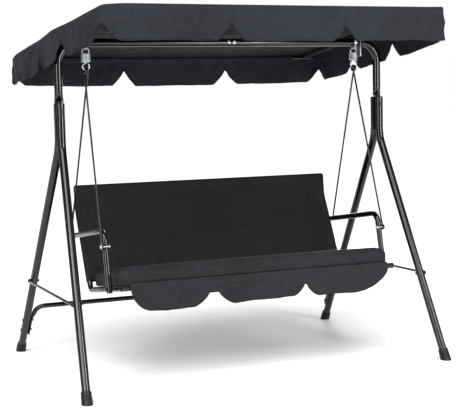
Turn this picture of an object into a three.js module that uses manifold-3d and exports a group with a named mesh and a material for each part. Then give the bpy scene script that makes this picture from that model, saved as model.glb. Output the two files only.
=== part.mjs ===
import * as THREE from "three";
import { mergeVertices } from "three/addons/utils/BufferGeometryUtils.js";
import ManifoldModule from "manifold-3d";

// Two-seat garden swing under a tilting fabric canopy.
// Millimetres, +Z up, seat facing -Y, origin on the ground under the middle of the four feet.

// Stand
const footSpanX = 1649;
const footFrontY = -547.5;
const footRearY = 545.6;
const uprightSpan = 1535;
const beamY = -85;
const beamZ = 1417;
const beamBendR = 85;
const frameR = 17.5;
const wall = 1.2;
const legTopZ = 1166;
const legBendZ = 985;
const legBendR = 180;
const strapT = 5;
const strapW = 40;
const strapBottomZ = 1012;
const gap = 0.3;
const legPairY = frameR + strapT / 2 + gap;
const spliceBoltZ = 1130;
const beamJointX = -15;
const spigotLength = 62;
const beamBoltX = [8, 33];
const capTopR = 21.4;
const capFootR = 23;
const capLength = 50;
const legEndInset = 28;

// Ties between the legs
const crossBarR = 11;
const crossBarZ = 233;
const crossBarEndZ = 92;
const crossBoltZ = [165, 115];
const sideRodR = 6;
const sideRodZ = 367;

// Hangers
const springX = 645;
const pivotZ = 1394.8;
const springWire = 2.5;
const coilR = 17;
const coilTopZ = 1370;
const coilTurns = 6.25;
const coilPitch = 5.45;
const hookR = 15;
const lowerHookZ = 1318.5;
const rodR = 4;
const eyeR = 11;
const eyeTopZ = 1311.4;
const eyeStepX = 4.4;

// Seat
const sideX = 620;
const seatR = 12.5;
const backTop = [202, 795];
const backBend = [194, 700];
const seatCorner = [30, 350];
const seatFrontY = -425;
const seatSlope = 0.153;
const cushionHalf = 603;
const cushionT = 60;
const sleeveT = 2;
const skirtTopZ = 437;
const skirtBottomZ = 324;
const armX = 648.5;
const armRear = [174, 577];
const armFront = [-272, 640];
const armFoot = [-325, 390];
const boltFront = [-294, 577];
const boltRear = [162, 579];

// Canopy
const canopyHalf = 795;
const canopyFront = [-532, 1530];
const canopyRear = [527, 1395];
const valanceH = 138;
const clothT = 3;
const canopyTubeR = 9.5;
const armDrop = clothT + canopyTubeR + 5;
const armCanopyX = 698;
const pivotPlateX = 683;
const studR = 4;

const wasm = await ManifoldModule();
wasm.setup();

const group = new THREE.Group();
group.name = "canopy_swing_bench";

const finishes = {
  steel: { color: 0x17171a, roughness: 0.32, metalness: 0.35 },
  zinc: { color: 0xb9bcc0, roughness: 0.34, metalness: 0.9 },
  cap: { color: 0x141415, roughness: 0.6, metalness: 0 },
  canopy: { color: 0x2b2d35, roughness: 0.85, metalness: 0 },
  seat: { color: 0x303137, roughness: 0.9, metalness: 0 },
  back: { color: 0x27272b, roughness: 0.9, metalness: 0 },
};

function add(name, geometry, finish) {
  const mesh = new THREE.Mesh(geometry, new THREE.MeshStandardMaterial(finishes[finish]));
  mesh.name = name;
  group.add(mesh);
  return mesh;
}

// Solids -------------------------------------------------------------

function toManifold(geometry) {
  const plain = geometry.index ? geometry.toNonIndexed() : geometry.clone();
  const bare = new THREE.BufferGeometry();
  bare.setAttribute("position", plain.getAttribute("position"));
  const merged = mergeVertices(bare, 1e-4);
  return new wasm.Manifold(
    new wasm.Mesh({
      numProp: 3,
      vertProperties: merged.attributes.position.array,
      triVerts: new Uint32Array(merged.index.array),
    }),
  );
}

function toGeometry(solid) {
  const mesh = solid.getMesh();
  const geometry = new THREE.BufferGeometry();
  geometry.setAttribute("position", new THREE.BufferAttribute(mesh.vertProperties, mesh.numProp));
  geometry.setIndex(new THREE.BufferAttribute(mesh.triVerts, 1));
  const flat = geometry.toNonIndexed();
  flat.computeVertexNormals();
  return flat;
}

function joined(...geometries) {
  return toGeometry(geometries.map(toManifold).reduce((a, b) => a.add(b)));
}

function carved(geometry, ...cutters) {
  return toGeometry(cutters.map(toManifold).reduce((a, b) => a.subtract(b), toManifold(geometry)));
}

// A path through corner points, with an arc of the given radius at each inner corner.
class Route extends THREE.Curve {
  constructor(corners, radii, arcSteps = 6) {
    super();
    this.points = [corners[0].clone()];
    this.tangents = [corners[1].clone().sub(corners[0]).normalize()];
    for (let i = 1; i < corners.length - 1; i++) {
      const into = corners[i].clone().sub(corners[i - 1]).normalize();
      const out = corners[i + 1].clone().sub(corners[i]).normalize();
      const turn = into.angleTo(out);
      const back = radii[i - 1] * Math.tan(turn / 2);
      const start = corners[i].clone().addScaledVector(into, -back);
      const axis = into.clone().cross(out).normalize();
      const centre = start.clone().addScaledVector(axis.clone().cross(into), radii[i - 1]);
      const steps = Math.max(2, Math.round((arcSteps * turn) / (Math.PI / 2)));
      for (let k = 0; k <= steps; k++) {
        const angle = (turn * k) / steps;
        const spoke = start.clone().sub(centre).applyAxisAngle(axis, angle);
        this.points.push(centre.clone().add(spoke));
        this.tangents.push(into.clone().applyAxisAngle(axis, angle));
      }
    }
    const last = corners.length - 1;
    this.points.push(corners[last].clone());
    this.tangents.push(corners[last].clone().sub(corners[last - 1]).normalize());
  }
  get steps() {
    return this.points.length - 1;
  }
  getPointAt(u) {
    return this.points[Math.round(u * this.steps)].clone();
  }
  getPoint(u) {
    return this.getPointAt(u);
  }
  getTangentAt(u) {
    return this.tangents[Math.round(u * this.steps)].clone();
  }
  getSpacedPoints() {
    return this.points.map((p) => p.clone());
  }
}

// A path through points that are already close together.
class Polyline extends Route {
  constructor(points) {
    super([points[0], points[1]], []);
    this.points = points.map((p) => p.clone());
    this.tangents = points.map((p, i) => {
      const before = points[Math.max(0, i - 1)];
      const after = points[Math.min(points.length - 1, i + 1)];
      return after.clone().sub(before).normalize();
    });
  }
}

function ring(outer, inner, sides) {
  const shape = new THREE.Shape();
  const circle = (r) =>
    Array.from({ length: sides }, (_, i) => {
      const a = (2 * Math.PI * i) / sides;
      return new THREE.Vector2(r * Math.cos(a), r * Math.sin(a));
    });
  shape.setFromPoints(circle(outer));
  if (inner > 0) shape.holes.push(new THREE.Path().setFromPoints(circle(inner).reverse()));
  return shape;
}

function sweep(path, outer, inner = 0, sides = 12) {
  return new THREE.ExtrudeGeometry(ring(outer, inner, sides), {
    steps: path.steps,
    extrudePath: path,
    bevelEnabled: false,
  });
}

function tube(corners, radii, outer, sides = 12, arcSteps = 6) {
  return sweep(new Route(corners, radii, arcSteps), outer, outer - wall, sides);
}

const v3 = (x, y, z) => new THREE.Vector3(x, y, z);

// A cylinder from one point to another.
function rod(from, to, r, sides = 12) {
  return sweep(new Route([from, to], []), r, 0, sides);
}

// A bolt along a unit direction: hexagon head behind `seat`, nut beyond `grip`.
function bolt(seat, direction, grip, r = 4, headR = 7.5, nutR = 7) {
  const at = (d) => seat.clone().addScaledVector(direction, d);
  return joined(
    rod(at(-5), at(-0.01), headR, 6),
    rod(at(-1), at(grip + 7), r, 8),
    rod(at(grip + 0.01), at(grip + 5.5), nutR, 6),
  );
}

function drill(from, to, r, sides = 10) {
  return rod(from, to, r, sides);
}

function mirrored(geometry) {
  const copy = geometry.clone().applyMatrix4(new THREE.Matrix4().makeScale(-1, 1, 1));
  const plain = copy.index ? copy.toNonIndexed() : copy;
  const p = plain.attributes.position;
  for (let i = 0; i < p.count; i += 3) {
    const swap = [p.getX(i + 1), p.getY(i + 1), p.getZ(i + 1)];
    p.setXYZ(i + 1, p.getX(i + 2), p.getY(i + 2), p.getZ(i + 2));
    p.setXYZ(i + 2, ...swap);
  }
  plain.computeVertexNormals();
  return plain;
}

// Adds a right-hand piece and its mirror image.
function addPair(name, geometry, finish) {
  add(name + "_r", geometry, finish);
  add(name + "_l", mirrored(geometry), finish);
}

// Stand ---------------------------------------------------------------

const footX = footSpanX / 2;
const uprightX = uprightSpan / 2;

function legLine(footY) {
  const side = footY < beamY ? -1 : 1;
  const top = v3(uprightX, beamY + side * legPairY, legTopZ);
  const bend = v3(uprightX, beamY + side * legPairY, legBendZ);
  const foot = v3(footX, footY, 0);
  const down = foot.clone().sub(bend).normalize();
  return { side, top, bend, foot, down };
}

function legAt(line, z) {
  return line.foot.clone().lerp(line.bend, z / line.bend.z);
}

function leg(footY, extraHoles) {
  const line = legLine(footY);
  const end = line.foot.clone().addScaledVector(line.down, -legEndInset);
  const body = tube([line.top, line.bend, end], [legBendR], frameR, 14, 12);
  const splice = drill(v3(uprightX, beamY - 60, spliceBoltZ), v3(uprightX, beamY + 60, spliceBoltZ), 4.4);
  const across = extraHoles.map((z) => {
    const p = legAt(line, z);
    return drill(v3(p.x - 40, p.y, z), v3(p.x + 40, p.y, z), 4.4);
  });
  return carved(body, splice, ...across);
}

// Moulded end cap around the foot of a leg, cut level with the ground.
function footCap(footY) {
  const line = legLine(footY);
  const boreR = frameR + gap;
  const profile = [
    [0, -30],
    [capFootR, -30],
    [capFootR, 4],
    [capTopR, capLength - 3],
    [capTopR - 1, capLength],
    [boreR, capLength],
    [boreR, legEndInset - 1],
    [0, legEndInset - 1],
  ].map(([r, h]) => new THREE.Vector2(r, h));
  const turned = new THREE.LatheGeometry(profile, 20);
  turned.rotateX(Math.PI / 2);
  const up = line.down.clone().negate();
  turned.applyQuaternion(new THREE.Quaternion().setFromUnitVectors(v3(0, 0, 1), up));
  turned.translate(line.foot.x, line.foot.y, 0);
  const below = new THREE.BoxGeometry(200, 200, 100);
  below.translate(line.foot.x, line.foot.y, -50);
  return carved(turned, below);
}

// Upper tube: half of the top beam, the bend, the upright and its flattened lower end.
function topTube(side) {
  const jointX = side < 0 ? beamJointX : beamJointX + gap;
  const x = side * uprightX;
  const upper = strapBottomZ + 0.5;
  const flattenZ = [1174, 1182, 1190, 1198, 1206];
  const corners = [v3(jointX, beamY, beamZ), v3(x, beamY, beamZ), v3(x, beamY, upper)];
  const route = new Route(corners, [beamBendR], 7);
  const last = route.points.length - 1;
  const extra = flattenZ.slice().reverse();
  route.points.splice(last, 0, ...extra.map((z) => v3(x, beamY, z)));
  route.tangents.splice(last, 0, ...extra.map(() => v3(0, 0, -1)));
  const body = sweep(route, frameR, frameR - wall, 14);
  const p = body.attributes.position;
  const squash = (strapT / 2) / frameR;
  const widen = strapW / 2 / frameR;
  for (let i = 0; i < p.count; i++) {
    const z = p.getZ(i);
    const t = THREE.MathUtils.smoothstep(1206 - z, 0, 34);
    p.setY(i, beamY + (p.getY(i) - beamY) * THREE.MathUtils.lerp(1, squash, t));
    if (z < 1300) p.setX(i, x + (p.getX(i) - x) * THREE.MathUtils.lerp(1, widen, t));
  }
  const core = new THREE.BoxGeometry(strapW - 6, strapT - 1, 158);
  core.translate(x, beamY, strapBottomZ + 79.5);
  const cuts = [
    drill(v3(x, beamY - 40, spliceBoltZ), v3(x, beamY + 40, spliceBoltZ), 4.4),
    drill(v3(side * springX, beamY - 40, beamZ), v3(side * springX, beamY + 40, beamZ), 4.4),
  ];
  const parts = [body, core];
  if (side < 0) {
    const lip = tubeRing(beamJointX - 2, beamJointX, frameR, frameR - wall - gap - 1.2);
    const spigotR = frameR - wall - gap;
    parts.push(lip, tubeRing(beamJointX - 1, beamJointX + spigotLength, spigotR, spigotR - 1.2));
  }
  cuts.push(
    ...beamBoltX.map((bx) => drill(v3(bx, beamY - 40, beamZ), v3(bx, beamY + 40, beamZ), 3.4)),
  );
  return carved(joined(...parts), ...cuts);
}

function tubeRing(x0, x1, outer, inner) {
  return sweep(new Route([v3(x0, beamY, beamZ), v3(x1, beamY, beamZ)], []), outer, inner, 14);
}

function crossBar() {
  const line = legLine(footRearY);
  const inset = frameR + crossBarR + 2;
  const tabInset = frameR + 4.4;
  const low = legAt(line, crossBarEndZ);
  const high = legAt(line, crossBarZ);
  const corners = [
    v3(-low.x + inset, low.y, crossBarEndZ),
    v3(-high.x + inset, high.y, crossBarZ),
    v3(high.x - inset, high.y, crossBarZ),
    v3(low.x - inset, low.y, crossBarEndZ),
  ];
  const route = new Route(corners, [45, 45], 5);
  const press = legAt(line, 176);
  const down = line.down;
  route.points.splice(1, 0, v3(-press.x + inset, press.y, press.z));
  route.tangents.splice(1, 0, v3(down.x, -down.y, -down.z));
  route.points.splice(-1, 0, v3(press.x - inset, press.y, press.z));
  route.tangents.splice(-1, 0, down.clone());
  const body = sweep(route, crossBarR, crossBarR - wall, 10);
  const p = body.attributes.position;
  for (let i = 0; i < p.count; i++) {
    const z = p.getZ(i);
    const side = Math.sign(p.getX(i));
    if (Math.abs(p.getX(i)) < 740) continue;
    const t = THREE.MathUtils.smoothstep(202 - z, 0, 22);
    const centre = side * (legAt(line, z).x - inset);
    const shift = side * (inset - tabInset) * t;
    p.setX(i, centre + shift + (p.getX(i) - centre) * THREE.MathUtils.lerp(1, 0.34, t));
  }
  const holes = [];
  for (const z of crossBoltZ) {
    const q = legAt(line, z);
    for (const s of [-1, 1]) {
      holes.push(drill(v3(s * (q.x - 45), q.y, z), v3(s * (q.x + 10), q.y, z), 4.4));
    }
  }
  return carved(body, ...holes);
}

// Round rod with a flat drilled eye at each end, lying along the outside of both legs.
function sideRod() {
  const front = legAt(legLine(footFrontY), sideRodZ);
  const rear = legAt(legLine(footRearY), sideRodZ);
  const x = front.x + frameR + 1 + sideRodR;
  const eyeX = front.x + frameR + gap;
  const eyes = [front, rear].map((p) => rod(v3(eyeX, p.y, sideRodZ), v3(eyeX + 5, p.y, sideRodZ), 11, 16));
  const shaft = rod(v3(x, front.y + 9.5, sideRodZ), v3(x, rear.y - 9.5, sideRodZ), sideRodR, 12);
  const holes = [front, rear].map((p) =>
    drill(v3(eyeX - 5, p.y, sideRodZ), v3(eyeX + 15, p.y, sideRodZ), 4.4),
  );
  return carved(joined(shaft, ...eyes), ...holes);
}

// U-shaped shackle around the beam with its cross bolt.
function springShackle() {
  const r = frameR + 3.2;
  const bottomZ = pivotZ - springWire - gap - 2.5;
  const bendZ = bottomZ + 14;
  const corners = [
    v3(springX, beamY - r, beamZ + 7),
    v3(springX, beamY - r, bottomZ),
    v3(springX, beamY + r, bottomZ),
    v3(springX, beamY + r, beamZ + 7),
  ];
  const strap = sweep(new Route(corners, [bendZ - bottomZ, bendZ - bottomZ], 5), 2.5, 0, 8);
  const pin = bolt(v3(springX, beamY - r - 2, beamZ), v3(0, 1, 0), 2 * r + 4, 4, 8, 8);
  return joined(strap, pin);
}

function canopyPivotZ() {
  return canopyLineZ(beamY) - armDrop;
}

function canopyLineZ(y) {
  const t = (y - canopyFront[0]) / (canopyRear[0] - canopyFront[0]);
  return canopyFront[1] + t * (canopyRear[1] - canopyFront[1]);
}

// Plate clamped round the beam with the stud and knob that carry a canopy arm.
function canopyBracket() {
  const z = canopyPivotZ();
  const outline = new THREE.Shape();
  outline.absarc(0, z, 8, 0, Math.PI, false);
  outline.absarc(0, beamZ, 25, Math.PI * 0.92, Math.PI * 2.08, false);
  outline.closePath();
  const plate = new THREE.ExtrudeGeometry(outline, { depth: 4, bevelEnabled: false, curveSegments: 10 });
  plate.rotateY(Math.PI / 2);
  plate.rotateX(Math.PI / 2);
  plate.translate(pivotPlateX - 2, beamY, 0);
  const hole = rod(v3(pivotPlateX - 10, beamY, beamZ), v3(pivotPlateX + 10, beamY, beamZ), frameR + 0.8, 28);
  const stud = rod(v3(pivotPlateX, beamY, z), v3(armCanopyX + 18, beamY, z), studR, 24);
  const knob = rod(v3(armCanopyX + canopyTubeR + 0.6, beamY, z), v3(armCanopyX + 22, beamY, z), 11, 10);
  return joined(carved(plate, hole), stud, knob);
}

// Bare metal plate hung on the beam beside the right-hand spring.
function sidePlate() {
  const outline = new THREE.Shape();
  outline.moveTo(-26, 1352);
  outline.lineTo(22, 1352);
  outline.lineTo(26, 1360);
  outline.lineTo(26, 1440);
  outline.lineTo(-26, 1440);
  outline.closePath();
  const plate = new THREE.ExtrudeGeometry(outline, { depth: 3, bevelEnabled: false });
  plate.rotateY(Math.PI / 2);
  plate.rotateX(Math.PI / 2);
  plate.translate(668, beamY, 0);
  return carved(plate, rod(v3(660, beamY, beamZ), v3(680, beamY, beamZ), frameR + 0.6, 28));
}

function stand() {
  const seen = { front: [sideRodZ], rear: [sideRodZ, ...crossBoltZ] };
  addPair("leg_front", leg(footFrontY, seen.front), "steel");
  addPair("leg_rear", leg(footRearY, seen.rear), "steel");
  addPair("foot_front", footCap(footFrontY), "cap");
  addPair("foot_rear", footCap(footRearY), "cap");
  add("top_tube_l", topTube(-1), "steel");
  add("top_tube_r", topTube(1), "steel");
  beamBoltX.forEach((x, i) => {
    const seat = v3(x, beamY - frameR - gap, beamZ);
    add("beam_bolt_" + (i + 1), bolt(seat, v3(0, 1, 0), 2 * (frameR + gap), 3, 6, 6), "zinc");
  });
  const depth = 2 * (legPairY + frameR + gap);
  addPair("splice_bolt", bolt(v3(uprightX, beamY - depth / 2, spliceBoltZ), v3(0, 1, 0), depth), "zinc");
  add("cross_bar", crossBar(), "steel");
  crossBoltZ.forEach((z, i) => {
    const p = legAt(legLine(footRearY), z);
    const seat = v3(p.x + frameR + gap, p.y, z);
    addPair("cross_bolt_" + (i + 1), bolt(seat, v3(-1, 0, 0), 2 * frameR + gap + 8.8), "zinc");
  });
  addPair("side_rod", sideRod(), "steel");
  for (const [name, footY] of [["front", footFrontY], ["rear", footRearY]]) {
    const p = legAt(legLine(footY), sideRodZ);
    const seat = v3(p.x + frameR + 2 * gap + 5, p.y, sideRodZ);
    addPair("side_bolt_" + name, bolt(seat, v3(-1, 0, 0), 2 * frameR + 5 + 3 * gap), "zinc");
  }
  addPair("spring_shackle", springShackle(), "zinc");
  addPair("canopy_bracket", canopyBracket(), "steel");
  add("side_plate", sidePlate(), "zinc");
}

// Canopy --------------------------------------------------------------

function sidePanel(points, depth, x0) {
  const shape = new THREE.Shape(points.map(([y, z]) => new THREE.Vector2(y, z)));
  const geometry = new THREE.ExtrudeGeometry(shape, { depth, bevelEnabled: false });
  geometry.rotateY(Math.PI / 2);
  geometry.rotateX(Math.PI / 2);
  geometry.translate(x0, 0, 0);
  return geometry;
}

// Lower edge of a scalloped strip, from s0 to s1, as [s, height above the lowest line].
function scallops(s0, s1, count, notch, round) {
  const points = [];
  const pitch = (s1 - s0) / count;
  for (let i = 0; i < count; i++) {
    const a = s0 + i * pitch;
    const arc = [0, 0.16, 0.33, 0.5, 0.67, 0.84, 1].map((t) => (t * Math.PI) / 2);
    const down = arc.map((q) => [a + 2 + round * (1 - Math.cos(q)), notch * (1 - Math.sin(q))]);
    const up = arc.map((q) => [a + pitch - 2 - round * (1 - Math.sin(q)), notch * (1 - Math.cos(q))]);
    points.push(...down, ...up);
  }
  return points;
}

function valance(s0, s1, topAt, notch) {
  const lower = scallops(s0, s1, 3, notch, 78);
  const edge = lower.map(([s, h]) => [s, topAt(s) - valanceH + h + clothT]);
  return [[s0 + 2, topAt(s0)], ...edge, [s1 - 2, topAt(s1)]];
}

function frontPanel(points, y0, depth) {
  const shape = new THREE.Shape(points.map(([x, z]) => new THREE.Vector2(x, z)));
  const geometry = new THREE.ExtrudeGeometry(shape, { depth, bevelEnabled: false });
  geometry.rotateX(Math.PI / 2);
  geometry.translate(0, y0 + depth, 0);
  return geometry;
}

function canopy() {
  const [fy, fz] = canopyFront;
  const [ry, rz] = canopyRear;
  const half = canopyHalf;
  const top = [[fy, fz - clothT], [ry, rz - clothT], [ry, rz], [fy, fz]];
  add("canopy_top", sidePanel(top, 2 * half, -half), "canopy");
  const under = clothT + gap;
  add("valance_front", frontPanel(valance(-half, half, () => canopyLineZ(fy + clothT) - under, 66), fy, clothT), "canopy");
  const rear = valance(-half, half, () => rz - under, 66);
  add("valance_rear", frontPanel(rear, ry - clothT, clothT), "canopy");
  const side = valance(fy + clothT, ry - clothT, (y) => canopyLineZ(y) - under, 66);
  addPair("valance_side", sidePanel(side, clothT, half - clothT), "canopy");

  const inset = clothT + canopyTubeR + 2;
  const end = half - clothT - 30;
  for (const [name, y] of [["front", fy + inset], ["rear", ry - inset]]) {
    const z = canopyLineZ(y) - armDrop;
    add("canopy_rod_" + name, tube([v3(-end, y, z), v3(end, y, z)], [], canopyTubeR), "steel");
  }
  const reach = canopyTubeR + gap + 0.3;
  const y0 = fy + inset + reach;
  const y1 = ry - inset - reach;
  const arm = tube(
    [v3(armCanopyX, y0, canopyLineZ(y0) - armDrop), v3(armCanopyX, y1, canopyLineZ(y1) - armDrop)],
    [],
    canopyTubeR,
  );
  const z = canopyPivotZ();
  const bore = drill(v3(armCanopyX - 20, beamY, z), v3(armCanopyX + 20, beamY, z), studR + gap, 24);
  addPair("canopy_arm", carved(arm, bore), "steel");
}

// Hangers --------------------------------------------------------------

function spring() {
  const points = [];
  const arc = (cz, r, from, to, steps, drift) => {
    for (let i = 0; i <= steps; i++) {
      const t = i / steps;
      const a = from + (to - from) * t;
      points.push(v3(springX + r * Math.sin(a), beamY + drift * t, cz + r * Math.cos(a)));
    }
  };
  const topHookZ = pivotZ - hookR;
  arc(topHookZ, hookR, -2.5, 2.0, 16, 0);
  const steps = Math.round(coilTurns * 12);
  for (let i = 0; i <= steps; i++) {
    const a = Math.PI / 2 + (2 * Math.PI * coilTurns * i) / steps;
    const z = coilTopZ - (coilPitch * coilTurns * i) / steps;
    points.push(v3(springX + coilR * Math.sin(a), beamY + coilR * Math.cos(a), z));
  }
  arc(lowerHookZ, hookR, Math.PI - 1.9, Math.PI + 2.4, 16, 0);
  return sweep(new Polyline(points), springWire, 0, 6);
}

// Hanger rod: a closed eye on the spring's hook and a flat drilled eye at the armrest.
function hangerRod(boltAt, stepX) {
  const centre = new THREE.Vector2(beamY, eyeTopZ - eyeR);
  const foot = new THREE.Vector2(...boltAt);
  const down = foot.clone().sub(centre);
  const distance = down.length();
  const base = Math.atan2(down.y, down.x);
  const turn = stepX > 0 ? 1 : -1;
  const start = base + turn * Math.acos(eyeR / distance);
  const steps = 16;
  const points = [];
  for (let i = 0; i <= steps; i++) {
    const a = start + (turn * (280 / 180) * Math.PI * i) / steps;
    points.push([centre.x + eyeR * Math.cos(a), centre.y + eyeR * Math.sin(a)]);
  }
  const footX = armX + seatR + 6;
  const topX = springX + stepX;
  const toward = new THREE.Vector2(points[0][0], points[0][1]).sub(foot).normalize();
  const path = [v3(footX, foot.x + 10.5 * toward.x, foot.y + 10.5 * toward.y)];
  points.forEach(([y, z]) => path.push(v3(topX, y, z)));
  const x0 = armX + seatR + 0.4;
  const disc = rod(v3(x0, foot.x, foot.y), v3(x0 + 6, foot.x, foot.y), 13, 16);
  const hole = drill(v3(x0 - 5, foot.x, foot.y), v3(x0 + 15, foot.x, foot.y), 4.4);
  return carved(joined(sweep(new Polyline(path), rodR, 0, 8), disc), hole);
}

function hangers() {
  addPair("spring", spring(), "zinc");
  addPair("hanger_rod_front", hangerRod(boltFront, eyeStepX), "steel");
  addPair("hanger_rod_rear", hangerRod(boltRear, -eyeStepX), "steel");
  for (const [name, at] of [["front", boltFront], ["rear", boltRear]]) {
    const seat = v3(armX + seatR + 6.7, ...at);
    addPair("rod_bolt_" + name, bolt(seat, v3(-1, 0, 0), 2 * seatR + 7), "zinc");
  }
}

// Seat -------------------------------------------------------------------

const railZ = (y) => seatCorner[1] + (seatCorner[0] - y) * seatSlope;

function sideFrame() {
  const y = seatFrontY + seatR + gap;
  const corners = [
    v3(sideX, y, railZ(y)),
    v3(sideX, ...seatCorner),
    v3(sideX, ...backBend),
    v3(sideX, ...backTop),
  ];
  return tube(corners, [28, 90], seatR, 12, 7);
}

function armrest() {
  const corners = [v3(armX, ...armRear), v3(armX, ...armFront), v3(armX, ...armFoot)];
  const body = tube(corners, [48], seatR, 12, 6);
  const [fy, fz] = boltFront;
  const [ry, rz] = boltRear;
  const holes = [
    drill(v3(armX - 30, fy, fz), v3(armX + 30, fy, fz), 4.4),
    drill(v3(armX - 30, ry, rz), v3(armX + 30, ry, rz), 4.4),
  ];
  const y = -322;
  const z = railZ(y);
  const stud = rod(v3(sideX + seatR + gap, y, z), v3(armX + seatR + 4, y, z), 4, 12);
  const head = rod(v3(armX + seatR - 1, y, z), v3(armX + seatR + 5, y, z), 7.5, 6);
  const spacer = rod(v3(sideX + seatR + gap, y, z), v3(armX - seatR + 1, y, z), 7, 12);
  return joined(carved(body, ...holes), stud, head, spacer);
}

function rail(y, z, half) {
  return tube([v3(-half, y, z), v3(half, y, z)], [], seatR);
}

// Offsets a side-view path, given as [y, z] points, to both sides.
function band(path, half) {
  const left = [];
  const right = [];
  path.forEach(([y, z], i) => {
    const [ay, az] = path[Math.max(0, i - 1)];
    const [by, bz] = path[Math.min(path.length - 1, i + 1)];
    const length = Math.hypot(by - ay, bz - az);
    const ny = (bz - az) / length;
    const nz = -(by - ay) / length;
    left.push([y + ny * half, z + nz * half]);
    right.push([y - ny * half, z - nz * half]);
  });
  return [...left, ...right.reverse()];
}

// Fabric sleeve over the two uprights and the top rail, open along its lower edge.
function backSleeve() {
  const route = new Route(
    [v3(0, 46.8, 386), v3(0, ...backBend), v3(0, backTop[0] + 0.3, backTop[1] + 4)],
    [90],
    10,
  );
  const path = route.points.map((p) => [p.y, p.z]);
  const half = seatR + 0.9;
  const outer = sidePanel(band(path, half + sleeveT), 2 * (sideX + half + sleeveT), -(sideX + half + sleeveT));
  const inside = path.slice(0, -1);
  const [ty, tz] = path[path.length - 1];
  inside.push([ty - 0.1, tz - sleeveT]);
  inside[0] = [inside[0][0] - 14, inside[0][1] - 30];
  const inner = sidePanel(band(inside, half), 2 * (sideX + half), -(sideX + half));
  return carved(outer, inner);
}

function cushion() {
  const low = seatR + 0.6;
  const bottom = (y) => railZ(y) + low;
  const top = (y) => bottom(y) + cushionT;
  const fy = seatFrontY - 8;
  const points = [
    [fy, bottom(fy) + 1],
    [8, bottom(8)],
    [34, top(34) - 6],
    [28, top(28)],
    [fy + 24, top(fy + 24)],
    [fy + 12, top(fy + 12) - 3],
    [fy + 4, top(fy + 4) - 9],
    [fy, top(fy) - 20],
  ];
  const shape = new THREE.Shape(points.map(([y, z]) => new THREE.Vector2(y, z)));
  const geometry = new THREE.ExtrudeGeometry(shape, {
    depth: 2 * cushionHalf - 16,
    bevelEnabled: true,
    bevelThickness: 8,
    bevelSize: 8,
    bevelOffset: -8,
    bevelSegments: 3,
  });
  geometry.rotateY(Math.PI / 2);
  geometry.rotateX(Math.PI / 2);
  geometry.translate(-cushionHalf + 8, 0, 0);
  const y0 = fy + 40;
  const y1 = -6;
  const roof = cushionT - 12;
  const hollow = [[y0, bottom(y0) - 20], [y1, bottom(y1) - 20], [y1, bottom(y1) + roof], [y0, bottom(y0) + roof]];
  return carved(geometry, sidePanel(hollow, 2 * (cushionHalf - 30), -(cushionHalf - 30)));
}

function skirt() {
  const lower = scallops(-cushionHalf, cushionHalf, 3, 60, 110);
  const edge = lower.map(([x, h]) => [x, skirtBottomZ + h]);
  const points = [[-cushionHalf + 2, skirtTopZ], ...edge, [cushionHalf - 2, skirtTopZ]];
  return frontPanel(points, seatFrontY - seatR - 3.6, clothT);
}

function seat() {
  addPair("side_frame", sideFrame(), "steel");
  add("seat_rail_front", rail(seatFrontY, railZ(seatFrontY), sideX + seatR), "steel");
  add("seat_rail_rear", rail(-45, railZ(-45), sideX - seatR - gap), "steel");
  add("back_rail_top", rail(backTop[0] - 1, backTop[1] - seatR, sideX - seatR - gap), "steel");
  addPair("armrest", armrest(), "steel");
  add("seat_cushion", cushion(), "seat");
  add("back_sleeve", backSleeve(), "back");
  add("seat_skirt", skirt(), "seat");
}

stand();
canopy();
hangers();
seat();

export default group;
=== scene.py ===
import math

import bmesh
import bpy
from mathutils import Matrix, Vector, noise


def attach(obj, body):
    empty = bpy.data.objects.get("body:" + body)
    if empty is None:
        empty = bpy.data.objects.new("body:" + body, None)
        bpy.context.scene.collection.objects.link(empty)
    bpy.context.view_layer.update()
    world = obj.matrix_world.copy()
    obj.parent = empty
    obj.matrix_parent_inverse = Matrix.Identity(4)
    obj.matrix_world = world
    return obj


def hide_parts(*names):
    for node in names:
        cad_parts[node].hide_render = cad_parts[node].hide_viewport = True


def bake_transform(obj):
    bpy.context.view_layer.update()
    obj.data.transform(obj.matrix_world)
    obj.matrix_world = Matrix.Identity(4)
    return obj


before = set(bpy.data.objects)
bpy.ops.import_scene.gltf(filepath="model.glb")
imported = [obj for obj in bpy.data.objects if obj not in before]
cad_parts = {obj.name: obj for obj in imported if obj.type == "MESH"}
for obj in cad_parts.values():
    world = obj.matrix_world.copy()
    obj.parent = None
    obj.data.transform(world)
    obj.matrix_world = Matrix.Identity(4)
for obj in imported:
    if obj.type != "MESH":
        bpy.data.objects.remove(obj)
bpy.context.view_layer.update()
scene = bpy.context.scene
mm = 0.001  # every size below is in millimetres


view = {
    "place": (-2.0136, -4.5963, 1.1243),
    "turn": 0.377,
    "dip": -0.0917,
    "roll": -0.0252,
    "lens": 87.5,
    "shift": (0.1009, 0.0062),
}


def addCamera():
    data = bpy.data.cameras.new("camera")
    data.sensor_width = 36
    data.lens = view["lens"]
    data.shift_x, data.shift_y = view["shift"]
    data.clip_end = 100
    camera = bpy.data.objects.new("camera", data)
    scene.collection.objects.link(camera)
    turn, dip, roll = view["turn"], view["dip"], view["roll"]
    level = Vector((math.sin(turn), math.cos(turn), 0))
    side = Vector((math.cos(turn), -math.sin(turn), 0))
    ahead = level * math.cos(dip) + Vector((0, 0, 1)) * math.sin(dip)
    over = Vector((0, 0, 1)) * math.cos(dip) - level * math.sin(dip)
    right = side * math.cos(roll) + over * math.sin(roll)
    up = over * math.cos(roll) - side * math.sin(roll)
    turned = Matrix((right, up, -ahead)).transposed().to_4x4()
    camera.matrix_world = Matrix.Translation(view["place"]) @ turned
    scene.camera = camera


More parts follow.
